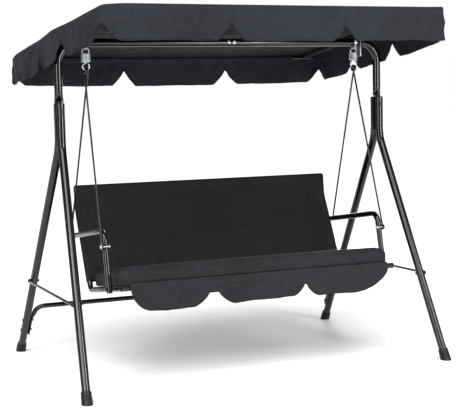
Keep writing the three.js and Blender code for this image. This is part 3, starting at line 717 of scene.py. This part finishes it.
canopy = {
    "half": 795.0, "front": (-532.0, 1530.0), "rear": (527.0, 1395.0),
    "drop": 138.0, "notch": 72.0, "notchHalf": 60.0, "cloth": 1.5,
    "rod": 9.5, "armX": 698.0, "armDrop": 17.5, "plateX": 683.0, "rodEnd": 762.0, "frontRod": (-708.0, 799.0),
    "sag": 15.0, "edgeSag": (1.0, 10.0), "lift": 9.0, "rodSag": 8.0, "pocket": 1.4,
    "rack": (78.0, 35.0), "rackFrom": -110.0, "rackTo": -500.0, "rearLeft": 20.0,
    "rows": 22,
}
canopyNotches = (
    (-795.0, -265.0, 265.0, 795.0),  # front, right, rear, left
    (-532.0, -168.0, 174.0, 527.0),
    (-795.0, -272.0, 268.0, 795.0),
    (-532.0, -205.0, 73.0, 527.0),
)
pivotZ = canopyLine(beamY) - canopy["armDrop"]


def buildBracket(bm):
    x = canopy["plateX"]
    outline = roundOutline(beamY, pivotZ, 8, 0, 180) + roundOutline(beamY, beamZ, 25, 166, 374, 40)
    addPlate(bm, outline, [(beamY, beamZ, stand["tube"] + 0.5)], x - 2, 4)
    addTurned(bm, [(6.5, 2.2), (6.5, 4.4), (4, 4.6), (4, 25.5), (0, 25.6)], (x, beamY, pivotZ), (1, 0, 0), 24)


def buildKnob(bm):
    x = canopy["armX"] + canopy["rod"] + 0.6
    profile = [(6.5, 0), (7, 0.6), (7, 3), (10.4, 3.6), (11, 5), (11, 10), (10.2, 11.6), (8, 12.3), (0, 12.5)]
    addTurned(bm, profile, (x, beamY, pivotZ), (1, 0, 0), 48)
    for v in bm.verts:  # five finger lobes
        out = Vector((v.co.y - beamY * mm, v.co.z - pivotZ * mm))
        if out.length > 0.0085:
            pull = 1 - 0.09 * (1 + math.cos(5 * math.atan2(out.y, out.x))) / 2
            v.co.y, v.co.z = beamY * mm + out.x * pull, pivotZ * mm + out.y * pull


sidePlate = {"x": 668.0, "thick": 2.6, "half": 26.0, "lowZ": 1352.0, "topZ": 1440.0}


def makeHangers():
    makePair("springShackle", buildShackle, zinc, "frame", "spring_shackle")
    makePair("canopyBracket", buildBracket, blackSteel, "frame", "canopy_bracket")
    makePair("canopyKnob", buildKnob, plastic, "frame", None)
    half, low, high = sidePlate["half"], sidePlate["lowZ"], sidePlate["topZ"]
    outline = (roundOutline(beamY + half - 4, high - 4, 4, 0, 90, 5)
               + roundOutline(beamY - half + 4, high - 4, 4, 90, 180, 5)
               + roundOutline(beamY - half + 4, low + 4, 4, 180, 270, 5)
               + roundOutline(beamY + half - 8, low + 8, 8, 270, 360, 6))
    bm = bmesh.new()
    addPlate(bm, outline, [(beamY, beamZ, stand["tube"] + 0.3)], sidePlate["x"], sidePlate["thick"])
    makePiece("sidePlate", bm, zinc, "frame", ["side_plate"])
    springs = makePair("spring", buildSpring, zinc, None, "spring")
    for piece, sign in zip(springs, (1, -1)):  # the coils hang between the beam and the rods; their placement is baked into the mesh
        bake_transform(piece)
    for name, boltAt, step in (("Front", hanger["boltFront"], hanger["eyeStep"]),
                               ("Rear", hanger["boltRear"], -hanger["eyeStep"])):
        low = name.lower()
        makePair("hangerRod" + name, lambda bm: buildHangerRod(bm, boltAt, step), blackSteel, "seat",
                 "hanger_rod_" + low)
        seat = (hanger["armX"] + hanger["armTube"] + 6.9, *boltAt)
        makePair("rodBolt" + name, lambda bm: addBolt(bm, seat, (-1, 0, 0), 2 * hanger["armTube"] + 7.2),
                 zinc,
                 "seat", "rod_bolt_" + low)
    print("hangers made")


seat = {
    "sideX": 620.0, "tube": 12.5, "backTop": (202.0, 795.0), "backBend": (194.0, 700.0),
    "corner": (30.0, 350.0),
    "frontY": -425.0, "slope": 0.153, "rearRailY": -45.0,
    "armRear": (174.0, 577.0), "armFront": (-272.0, 640.0), "armFoot": (-325.0, 390.0), "studY": -322.0,
}


def railZ(y):
    return seat["corner"][1] + (seat["corner"][0] - y) * seat["slope"]


def buildSideFrame(bm):
    x, y = seat["sideX"], seat["frontY"] + seat["tube"] + 0.3
    corners = [(x, y, railZ(y)), (x, *seat["corner"]), (x, *seat["backBend"]), (x, *seat["backTop"])]
    addSweep(bm, bentPath(corners, [28, 90], 4), seat["tube"], 32, (1, 0, 0), bore=seat["tube"] - 1.2)


def buildArmrest(bm):
    x, r = hanger["armX"], seat["tube"]
    corners = [(x, *seat["armRear"]), (x, *seat["armFront"]), (x, *seat["armFoot"])]
    path = bentPath(corners, [48], 4)
    addSweep(bm, path, r, 32, (1, 0, 0))
    for end, back in ((path[0], path[1]), (path[-1], path[-2])):  # domed end plugs
        out = (end - back).normalized()
        addTurned(bm, [(r - 1.6, -0.4), (r - 1.6, 0.6), (r - 3, 2.0), (r - 6, 2.9), (0, 3.3)], end, out, 32)
    y = seat["studY"]
    at = (seat["sideX"] + seat["tube"] + 0.3, y, railZ(y))
    reach = hanger["armX"] + seat["tube"] - at[0]
    addTurned(bm, [(6.6, 0), (7, 0.4), (7, 5), (4, 5.2), (4, reach), (8.6, reach), (8.8, reach + 0.8),
                   (7.5, reach + 1.1, True), (7.5, reach + 4.4, True), (5.6, reach + 5), (0, reach + 5)],
                   at, (1, 0, 0))


def makeSeatFrame():
    makePair("sideFrame", buildSideFrame, blackSteel, "seat", "side_frame")
    makePair("armrest", buildArmrest, blackSteel, "seat", "armrest")
    inner = seat["sideX"] - seat["tube"] - 0.3
    rails = (
        ("seatRailFront", "seat_rail_front", seat["frontY"], railZ(seat["frontY"]),
         seat["sideX"] + seat["tube"]),
        ("seatRailRear", "seat_rail_rear", seat["rearRailY"], railZ(seat["rearRailY"]), inner),
        ("backRailTop", "back_rail_top", seat["backTop"][0] - 1, seat["backTop"][1] - seat["tube"], inner),
    )
    for name, node, y, z, half in rails:
        bm = bmesh.new()
        addSweep(bm, [(-half, y, z), (half, y, z)], seat["tube"], 32, (0, 1, 0), bore=seat["tube"] - 1.2)
        makePiece(name, bm, blackSteel, "seat", [node])
    print("seat frame made")


def spread(low, high, count, pull=0.45):
    # more columns near the ends, where the scallops turn
    return [mix(low, high, k / count - pull * math.sin(2 * math.pi * k / count) / (2 * math.pi))
            for k in range(count + 1)]


def scallopColumns(notches, gap):
    found = []
    for a, b in zip(notches, notches[1:]):
        found += spread(a, b, max(4, round((b - a) / gap)))[:-1]
    return found + [notches[-1]]


def nearestNotch(sideIndex, p):
    return min(canopyNotches[sideIndex], key=lambda notch: abs(notch - p))


def notchHeight(sideIndex, p, half, deep):
    # a pointed notch at each end of every scallop, nearly straight with a rounded foot
    notch = nearestNotch(sideIndex, p)
    if (sideIndex, notch) in ((0, 795.0), (1, -532.0)):
        return 0.0  # the right front corner is sewn shut
    t = min(1.0, abs(p - notch) / half)
    return deep * (0.72 * (1 - t) + 0.28 * (1 - t) ** 2.2)


def wander(x, y=0.0, z=0.0):
    return noise.noise(Vector((x, y, z)))


def canopyHeight(x, y):
    half = canopy["half"]
    (fy, fz), (ry, rz) = canopy["front"], canopy["rear"]
    t = (y - fy) / (ry - fy)
    edgeSag = mix(*canopy["edgeSag"], t) * (1 - (x / half) ** 2)
    puff = canopy["lift"] * max(0.0, 1 - t / 0.3) ** 2  # the front edge stands up off its rod
    inside = min(1.0, abs(x) / canopy["armX"])
    hollow = canopy["sag"] * (1 - inside ** 2.4) * (4 * t * (1 - t)) ** 0.7
    side = 9 * easeIn(abs(x), canopy["armX"] + 15, half) * (4 * t * (1 - t)) ** 0.6
    rear = 9 * math.exp(-((half - abs(x)) ** 2 + (ry - y) ** 2) / 55 ** 2)
    front = (5 if x < 0 else -1) * math.exp(-((half - abs(x)) ** 2 + (y - fy) ** 2) / 60 ** 2)
    ripple = 2.2 * wander(x / 210, y / 160, 3.1) * (4 * t * (1 - t)) ** 0.5
    return canopyLine(y) + puff - edgeSag - hollow - side - rear - front + ripple


def canopyEdge(x, y, r=16.0):
    # rounds the corners of the rectangle
    half = canopy["half"]
    (fy, _), (ry, _) = canopy["front"], canopy["rear"]
    cx = math.copysign(half - r, x)
    cy = fy + r if y < (fy + ry) / 2 else ry - r
    out = Vector((x - cx, y - cy))
    if out.x * cx > 0 and out.y * (cy - (fy + ry) / 2) > 0 and out.length > r:
        out = out.normalized() * r
        return cx + out.x, cy + out.y
    return x, y


def racked(point):
    # the cover sits skewed on its frame: the front is pulled to one side, the left rear corner hangs out
    point = Vector(point)
    forward = (canopy["rackFrom"] - point.y) / (canopy["rackFrom"] - canopy["rackTo"])
    pull = mix(*canopy["rack"], min(1.0, max(0.0, (point.x - 265) / 530)))
    move = pull * min(1.08, max(0.0, forward))
    move -= canopy["rearLeft"] * easeIn(point.y, 60, 480) * easeIn(-point.x, 300, 795)
    return point + Vector((move, 0, 0))


def valanceDepth(sideIndex, p):
    notch = notchHeight(sideIndex, p, canopy["notchHalf"], canopy["notch"])
    uneven = 5 * wander(p / 230, sideIndex * 7.7, 1.3) + 2.5 * wander(p / 60, sideIndex * 2.3, 8.3)
    return canopy["drop"] - notch + uneven + (4 if sideIndex == 0 else -3)


def valanceOut(sideIndex, y, p, depth):
    # how far the hanging cloth stands out from the edge, by its depth below it
    fall = easeIn(depth, 0, 120)
    folds = (17 * wander(p / 190, sideIndex * 5.1, 0.4)
             + 11 * wander(p / 72, sideIndex * 3.3 + depth / 240, 2.2))
    notch = nearestNotch(sideIndex, p)
    near = p - notch
    flare = 9 * math.exp(-abs(near) / 46) * math.copysign(1, wander(notch / 71, sideIndex * 1.9))
    drawn = 3.4 * math.exp(-(abs(near) / 100) ** 2) * math.sin(near / 10 + depth / 20) * easeIn(depth, 12, 60)
    crease = 4.5 * wander(p / 38, depth / 70, sideIndex * 2.1 + 5) * easeIn(depth, 6, 40)
    slant = math.copysign(0.7, near)  # long creases run down and out from each notch
    pleat = max(0.0, 1 - 5 * abs(wander((p - slant * depth) / 95, sideIndex * 4.7, 6.1)))
    crease += 8 * pleat * easeIn(depth, 4, 45)
    out = 3 + (folds + flare) * fall + drawn + crease
    if sideIndex in (1, 3):  # the side pieces are pushed out where they pass the uprights
        push = math.exp(-((y - beamY) / 75) ** 2)
        out = mix(out, max(out, 4.0) * 0.4 + 5.5, push)
        out = max(out, 0.5 + 2 * push)
    return out


def buildCanopy():
    half = canopy["half"]
    (fy, fz), (ry, rz) = canopy["front"], canopy["rear"]
    xs = scallopColumns(canopyNotches[0], 14.7)
    ys = scallopColumns(sorted(set(canopyNotches[1] + canopyNotches[3])), 13.0)
    bm = bmesh.new()
    top = {}
    for i, x in enumerate(xs):
        for j, y in enumerate(ys):
            px, py = canopyEdge(x, y)
            top[i, j] = bm.verts.new(racked((px, py, canopyHeight(px, py))) * mm)
    for i in range(len(xs) - 1):
        for j in range(len(ys) - 1):
            bm.faces.new((top[i, j], top[i + 1, j], top[i + 1, j + 1], top[i, j + 1]))
    lastX, lastY = len(xs) - 1, len(ys) - 1
    ring = [(0, xs[i], i, 0) for i in range(lastX)]
    ring += [(1, ys[j], lastX, j) for j in range(lastY)]
    ring += [(2, xs[i], i, lastY) for i in range(lastX, 0, -1)]
    ring += [(3, ys[j], 0, j) for j in range(lastY, 0, -1)]
    columns, hem, seam = [], [], []
    for n, (sideIndex, p, i, j) in enumerate(ring):
        start = top[i, j].co / mm
        before, after = (top[ring[n - 1][2:]].co, top[ring[(n + 1) % len(ring)][2:]].co)
        run = after - before
        out = Vector((run.y, -run.x, 0)).normalized()
        deep = valanceDepth(sideIndex, p)
        column = [top[i, j]]
        for k in range(1, canopy["rows"] + 1):
            d = deep * (k / canopy["rows"]) ** 1.25
            shift = valanceOut(sideIndex, start.y, p, d)
            roll = easeIn(d, 0, 9)
            point = start + out * shift * roll + Vector((0, 0, -d))
            column.append(bm.verts.new(point * mm))
        columns.append(column)
        hem.append(column[-1].co / mm + Vector((0, 0, 1.0)))
        seam.append((column[3].co.lerp(column[4].co, 0.5) / mm, out))
    for n, column in enumerate(columns):
        following = columns[(n + 1) % len(columns)]
        for k in range(canopy["rows"]):
            bm.faces.new((column[k], column[k + 1], following[k + 1], following[k])).material_index = 2
    cover = makePiece("canopyCover", bm, canopyCloth, "canopy",
                      ["canopy_top", "valance_front", "valance_rear", "valance_side_l", "valance_side_r"],
                      sharp=75)
    thicken(cover, canopy["cloth"], lining=canopyShadeLining)
    return cover, hem, seam


def thicken(piece, thickness, offset=-1.0, lining=None):
    solid = piece.modifiers.new("clothThickness", "SOLIDIFY")
    if lining:  # the underside of the top gets a much darker lining cloth, painted shade for the dark under the canopy; the hanging sides are the same cloth on both faces
        for material in (lining, canopyCloth, canopyCloth):
            piece.data.materials.append(material)
        solid.material_offset = 1
    solid.thickness = thickness * mm
    solid.offset = offset
    solid.use_even_offset = False
    bpy.context.view_layer.update()
    evaluated = piece.evaluated_get(bpy.context.evaluated_depsgraph_get())
    made = bpy.data.meshes.new_from_object(evaluated)
    piece.modifiers.clear()
    piece.data = made


def addStitches(bm, line, length=7.0, pause=3.5, radius=0.75):
    # line is a list of (point, outward) pairs; each stitch is a small bent capsule lying on the cloth
    travelled, target = 0.0, 0.0
    for (a, outA), (b, outB) in zip(line, line[1:]):
        run = b - a
        size = run.length
        if size < 1e-6:
            continue
        along = run / size
        while target < travelled + size:
            t = (target - travelled) / size
            p = a.lerp(b, t)
            out = outA.lerp(outB, t).normalized()
            ends = [p - along * length / 2, p + out * radius * 0.9, p + along * length / 2]
            addSweep(bm, ends, radius, 6, chamfer=radius * 0.55)
            target += length + pause
        travelled += size


def addPocket(bm, path):
    # a loose sewn tunnel of canopy cloth round a tube
    path = [Vector(p) for p in path]
    outer = canopy["rod"] + canopy["pocket"] + 0.9

    def size(point):
        loose = 1.1 * wander(point.x / 60, point.y / 60, 5.5)
        return outer + loose, outer + 0.5 * loose

    addSweep(bm, path, size, 24, (0, 0, 1), bore=canopy["rod"] + 0.4, chamfer=0.5)


def makeCanopy():
    cover, hem, seam = buildCanopy()
    bm = bmesh.new()
    closed = hem + hem[:2]
    addSweep(bm, closed[:-1], lambda p: (1.5, 3.4), 10, (0, 0, 1), chamfer=0.2)
    binding = makePiece("canopyBinding", bm, canopyCloth, "canopy")
    bm = bmesh.new()
    addStitches(bm, [(p + out * 0.4, out) for p, out in seam])
    stitches = makePiece("canopyStitches", bm, threadBlack, "canopy", fix=False)
    pockets = bmesh.new()
    inset = 3 + canopy["rod"] + 2
    frontEnds, rearEnds = canopy["frontRod"], (-canopy["rodEnd"], canopy["rodEnd"])
    for name, y, ends in (("Front", canopy["front"][0] + inset, frontEnds),
                          ("Rear", canopy["rear"][0] - inset, rearEnds)):
        z = canopyLine(y) - canopy["armDrop"]
        xs = [mix(*ends, k / 24) for k in range(25)]
        path = [(x, y, z - canopy["rodSag"] * max(0.0, 1 - (x / canopy["rodEnd"]) ** 2)) for x in xs]
        bm = bmesh.new()
        addSweep(bm, path, canopy["rod"], 24, (0, 1, 0), bore=canopy["rod"] - 1.2)
        makePiece("canopyRod" + name, bm, blackSteel, "canopy", ["canopy_rod_" + name.lower()])
        addPocket(pockets, [p for p in path if abs(p[0]) < canopy["armX"] - 14])
    reach = canopy["rod"] + 0.6
    y0, y1 = canopy["front"][0] + inset + reach, canopy["rear"][0] - inset - reach
    drop = canopy["armDrop"]

    def buildArm(bm):
        x = canopy["armX"]
        addSweep(bm, [(x, y0, canopyLine(y0) - drop), (x, y1, canopyLine(y1) - drop)], canopy["rod"], 24,
                 (1, 0, 0), bore=canopy["rod"] - 1.2)

    makePair("canopyArm", buildArm, blackSteel, "canopy", "canopy_arm")
    for x in (-canopy["armX"], canopy["armX"]):
        for a, b in ((y0 + 18, beamY - 48), (beamY + 48, y1 - 18)):
            ys = [mix(a, b, k / 12) for k in range(13)]
            addPocket(pockets, [(x, y, canopyLine(y) - drop) for y in ys])
    pocket = makePiece("canopyPockets", pockets, canopyCloth, "canopy", sharp=60)
    print("canopy made")


cushion = {
    "half": 602.0, "thick": 60.0, "frontY": -431.0, "rearY": 41.0, "low": 13.4, "edge": 8.0,
    "voxel": 6.0, "pressure": 4.0, "frames": 20,
    "rise": 13.0, "spread": 3.0,
}


def cushionProfile():
    # side view of the pad as (y, z), a rounded slab that leans back with the rails
    low, thick, r = cushion["low"], cushion["thick"], cushion["edge"]
    fy, ry = cushion["frontY"], cushion["rearY"]
    points = []
    for cy, cz, start, radius in ((fy, 0, 180, 9), (ry, 0, 270, 9), (ry, thick, 0, r),
                                  (fy, thick, 90, r + 9)):
        sy = 1 if cy == fy else -1
        sz = 1 if cz == 0 else -1
        for k in range(7):
            a = math.radians(start + 15 * k)
            y = cy + sy * radius + radius * math.cos(a)
            z = cz + sz * radius + radius * math.sin(a)
            points.append((y, railZ(y) + low + z))
    return points


def buildCushion():
    half, r = cushion["half"], cushion["edge"]
    profile = cushionProfile()
    cy = sum(y for y, z in profile) / len(profile)
    cz = sum(z for y, z in profile) / len(profile)
    stations = [(-half + r * (1 - math.cos(a)), r * (1 - math.sin(a))) for a in
                [math.radians(15 * k) for k in range(7)]]
    middle = [(x, 0.0) for x in [-half + r + (2 * half - 2 * r) * k / 40 for k in range(1, 40)]]
    stations = stations + middle + [(-x, inset) for x, inset in stations[::-1]]
    bm = bmesh.new()
    loops = []
    for x, inset in stations:
        loop = []
        for y, z in profile:
            ty, tz = y - cy, z - cz
            loop.append(bm.verts.new(Vector((x, cy + ty * (1 - inset / 230),
                                             cz + tz * (1 - inset / 34))) * mm))
        loops.append(loop)
    for low, high in zip(loops, loops[1:]):
        for k in range(len(low)):
            bm.faces.new((low[k - 1], low[k], high[k], high[k - 1]))
    bm.faces.new(loops[0])
    bm.faces.new(loops[-1])
    return bm


def inflate(piece):
    # air pressure swells the pad, then every point is held near its pattern
    remesh = piece.modifiers.new("even", "REMESH")
    remesh.mode = "VOXEL"
    remesh.voxel_size = cushion["voxel"] * mm
    bpy.context.view_layer.update()
    piece.data = bpy.data.meshes.new_from_object(piece.evaluated_get(bpy.context.evaluated_depsgraph_get()))
    piece.modifiers.clear()
    rest = [v.co.copy() for v in piece.data.vertices]
    cloth = piece.modifiers.new("air", "CLOTH")
    cloth.settings.quality = 4
    cloth.settings.mass = 0.4
    cloth.settings.tension_stiffness = 12
    cloth.settings.compression_stiffness = 12
    cloth.settings.bending_stiffness = 0.4
    cloth.settings.use_pressure = True
    cloth.settings.uniform_pressure_force = cushion["pressure"]
    cloth.settings.effector_weights.gravity = 0
    cloth.collision_settings.use_collision = False
    cloth.point_cache.frame_start, cloth.point_cache.frame_end = 1, cushion["frames"]
    for step in range(1, cushion["frames"] + 1):
        scene.frame_set(step)
    swollen = bpy.data.meshes.new_from_object(piece.evaluated_get(bpy.context.evaluated_depsgraph_get()))
    piece.modifiers.clear()
    piece.data = swollen
    scene.frame_set(1)
    return rest


def shapeCushion(piece, rest):
    side, rise = cushion["spread"] * mm, cushion["rise"] * mm
    half = cushion["half"] * mm
    for vertex, was in zip(piece.data.vertices, rest):
        move = vertex.co - was
        x, y = was.x, was.y
        under = was.z < (railZ(y / mm) + cushion["low"] + 12) * mm
        move.x = max(-side, min(side, move.x))
        move.y = max(-side, min(side, move.y))
        move.z = 0.0 if under else max(-side, min(rise, move.z))
        v = was + move
        if not under:  # sat-on creases and a soft dip along the middle
            u = (y / mm - cushion["frontY"]) / (cushion["rearY"] - cushion["frontY"])
            crown = 1 - (x / half) ** 4
            v.z += (5.5 * crown * math.sin(math.pi * min(1, max(0, u))) ** 0.6 - 1.5) * mm
            v.z += 2.4 * mm * wander(x / 0.16, y / 0.05, 4.4)
            v.z += 1.1 * mm * wander(x / 0.05, y / 0.03, 9.4)
        v.y += 1.3 * mm * wander(x / 0.07, v.z / 0.03, 2.0) * (1 if y < -0.39 else 0)
        vertex.co = v


def makeCushion():
    piece = makePiece("seatCushion", buildCushion(), seatCloth, None)
    rest = inflate(piece)
    shapeCushion(piece, rest)
    piece.data.shade_smooth()
    piece.data.materials.clear()
    piece.data.materials.append(seatCloth)
    piece.data.materials.append(seatEndCloth)
    for face in piece.data.polygons:  # the boxed end faces get a lighter, browner copy of the seat cloth
        face.material_index = 1 if abs(face.normal.x) > 0.75 and abs(face.center.x) > 0.58 else 0
    smooth = piece.modifiers.new("softer", "SUBSURF")
    smooth.levels = smooth.render_levels = 1
    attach(piece, "seat")
    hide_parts("seat_cushion")
    print("cushion made:", len(piece.data.vertices), "points")
    return piece


skirt = {"topZ": 440.0, "lowZ": 324.0, "y": -441.5, "cloth": 1.5,
         "notches": (-597.0, -238.0, 188.0, 596.0), "notch": 64.0, "endRound": (90.0, 178.0)}


def skirtLow(x):
    left, right = skirt["notches"][0], skirt["notches"][-1]
    full = skirt["topZ"] - skirt["lowZ"]
    low = skirt["lowZ"] + 4 * wander(x / 120, 8.0) + (8 if -238 < x < 188 else 0) * (x + 238) / 426
    for notch in skirt["notches"][1:3]:
        wide = 72 if notch < 0 else 58
        t = min(1.0, max(0.0, abs(x - notch) - (20 if notch < 0 else 2)) / wide)
        low += skirt["notch"] * (1 - math.sqrt(max(0.0, 1 - (1 - t) ** 2))) * 0.6
        low += skirt["notch"] * (1 - t) ** 1.2 * 0.4
    for end, reach in zip((left, right), skirt["endRound"]):
        t = min(1.0, abs(x - end) / reach)
        low += (full - 10) * (1 - math.sqrt(max(0.0, 1 - (1 - t) ** 2)))
    return low


def skirtPoint(x, t):
    low = skirtLow(x)
    z = mix(skirt["topZ"], low, t)
    down = skirt["topZ"] - z
    fall = easeIn(down, 0, 100)
    folds = 9 * wander(x / 95, 5.0) + 6 * wander(x / 42, down / 90, 3.0)
    fold = 6 * math.exp(-((x + 585 - down * 1.1) / 16) ** 2)
    lean = 6 - 8 * easeIn(down, 0, 18) - 5 * fall
    y = skirt["y"] + lean - abs(folds) * fall * 0.8 - fold * easeIn(down, 4, 30)
    y -= 1.2 * wander(x / 21, down / 30, 7.0) * easeIn(down, 3, 20)
    y -= 4 * max(0.0, 1 - 5 * abs(wander((x - 0.8 * down) / 110, down / 400, 4.1))) * easeIn(down, 6, 40)
    return Vector((x, y, z))


def makeSkirt():
    columns = []
    for a, b in zip(skirt["notches"], skirt["notches"][1:]):
        columns += spread(a, b, 52)[:-1]
    columns += [skirt["notches"][-1]]
    rows = 20
    bm = bmesh.new()
    grid = [[bm.verts.new(skirtPoint(x, k / rows) * mm) for k in range(rows + 1)] for x in columns]
    for a, b in zip(grid, grid[1:]):
        for k in range(rows):
            bm.faces.new((a[k], a[k + 1], b[k + 1], b[k]))
    hem = [skirtPoint(x, 1.0) + Vector((0, 0, 0.8)) for x in columns]
    piece = makePiece("seatSkirt", bm, seatCloth, "seat", ["seat_skirt"], sharp=75)
    thicken(piece, skirt["cloth"], 1.0)
    bm = bmesh.new()
    addSweep(bm, hem, lambda p: (1.4, 3.0), 10, (0, 0, 1), chamfer=0.2)
    binding = makePiece("skirtBinding", bm, seatCloth, "seat")
    bm = bmesh.new()
    out = Vector((0, -1, 0))
    row = [(skirtPoint(x, 0.07) + out * 1.6, out) for x in columns]
    addStitches(bm, row, 6.0, 3.0, 0.65)
    stitches = makePiece("skirtStitches", bm, threadBlack, "seat", fix=False)
    print("skirt made")


sleeve = {"half": 635.0, "halfThick": 15.2, "cloth": 1.6, "lowZ": 386.0, "rows": 64, "columns": 120}


def sleevePath():
    route = bentPath([(0, 46.8, 386), (0, *seat["backBend"]), (0, seat["backTop"][0] + 0.3, 786)], [90], 3)
    total = [0.0]
    for a, b in zip(route, route[1:]):
        total.append(total[-1] + (b - a).length)
    found = []
    for k in range(sleeve["rows"] + 1):
        d = total[-1] * k / sleeve["rows"]
        i = max(n for n in range(len(total)) if total[n] <= d + 1e-6)
        i = min(i, len(route) - 2)
        t = (d - total[i]) / (total[i + 1] - total[i])
        tangent = (route[i + 1] - route[i]).normalized()
        found.append((route[i].lerp(route[i + 1], t), tangent, d / total[-1]))
    return found


def sleeveLoop(point, tangent, up, thick, half, count):
    # one turn round the bag: front panel, end, rear panel, end
    forward = Vector((0, -tangent.z, tangent.y))
    loop = []
    for side in (1, -1):
        for k in range(count):
            x = side * mix(-(half - thick), half - thick, k / (count - 1))
            loop.append((x, side * thick, 0.0))
        for k in range(1, 8):
            a = math.pi / 2 - math.pi * k / 8
            loop.append((side * (half - thick + thick * math.cos(a)), side * thick * math.sin(a), 0.0))
    points = []
    for x, depth, _ in loop:
        p = point + forward * depth
        p.x = x
        inside = max(0.0, 1 - (abs(x) / (half - thick)) ** 6)
        front = depth > 0
        slack = -7.5 * inside * math.sin(math.pi * min(1.0, up * 0.96 + 0.02)) if front else 3.0 * inside
        low = easeIn(1 - up, 0.38, 0.98)
        leftish = mix(0.45, 1.0, easeIn(150 - x, 0, 400))
        wrinkles = (11 * wander(x / 36 + 0.6 * up, up * 0.8, 1.0)
                    + 4 * wander(x / 16, up * 1.4, 6.0)) * low * leftish
        drape = 2.5 * wander(x / 130, up * 3, 8.0)
        move = (slack + (wrinkles + drape) * inside) * (1 if front else 0.6)
        points.append(p + forward * move)
    return points


def makeSleeve():
    rows = []
    thick, half = sleeve["halfThick"], sleeve["half"]
    path = sleevePath()
    for point, tangent, up in path:
        rows.append(sleeveLoop(point, tangent, up, thick, half, sleeve["columns"]))
    point, tangent, up = path[-1]
    for k in range(1, 8):  # the cloth rolls over the top rail
        a = math.pi / 2 * k / 8
        lifted = point + tangent * thick * math.sin(a)
        rows.append(sleeveLoop(lifted, tangent, 1.0, thick * math.cos(a),
                               half - thick * (1 - math.cos(a)) * 0.5,
                               sleeve["columns"]))
    bm = bmesh.new()
    grid = [[bm.verts.new(p * mm) for p in row] for row in rows]
    count = len(grid[0])
    for low, high in zip(grid, grid[1:]):
        for k in range(count):
            bm.faces.new((low[k - 1], low[k], high[k], high[k - 1]))
    last = grid[-1]
    span = sleeve["columns"]
    # the two panels meet in a seam along the top
    front, rear = last[:span], last[span + 7:2 * span + 7][::-1]
    for k in range(span - 1):
        bm.faces.new((front[k], front[k + 1], rear[k + 1], rear[k]))
    bm.faces.new([front[-1]] + last[span:span + 7] + [rear[-1]])
    bm.faces.new([rear[0]] + last[2 * span + 7:] + [front[0]])
    piece = makePiece("backSleeve", bm, backCloth, "seat", ["back_sleeve"], sharp=60)
    thicken(piece, sleeve["cloth"])
    bm = bmesh.new()
    for side in (-1, 1):  # the bag's side seams, a row of stitches down each end
        line = []
        for row, (p, tangent, up) in zip(rows, path):
            q = row[sleeve["columns"] - 3] if side > 0 else row[2]
            forward = Vector((0, -tangent.z, tangent.y))
            line.append((q + forward * 0.3, forward))
        addStitches(bm, line, 6.0, 3.0, 0.65)
    top = [(rows[len(path) - 3][k], Vector((0, -1, 0.1)).normalized())
           for k in range(2, sleeve["columns"] - 2)]
    addStitches(bm, [(p + out * 0.3, out) for p, out in top], 6.0, 3.0, 0.65)
    stitches = makePiece("sleeveStitches", bm, threadBlack, "seat", fix=False)
    print("back sleeve made")


makeStand()
makeHangers()
makeSeatFrame()
makeCanopy()
makeCushion()
makeSkirt()
makeSleeve()
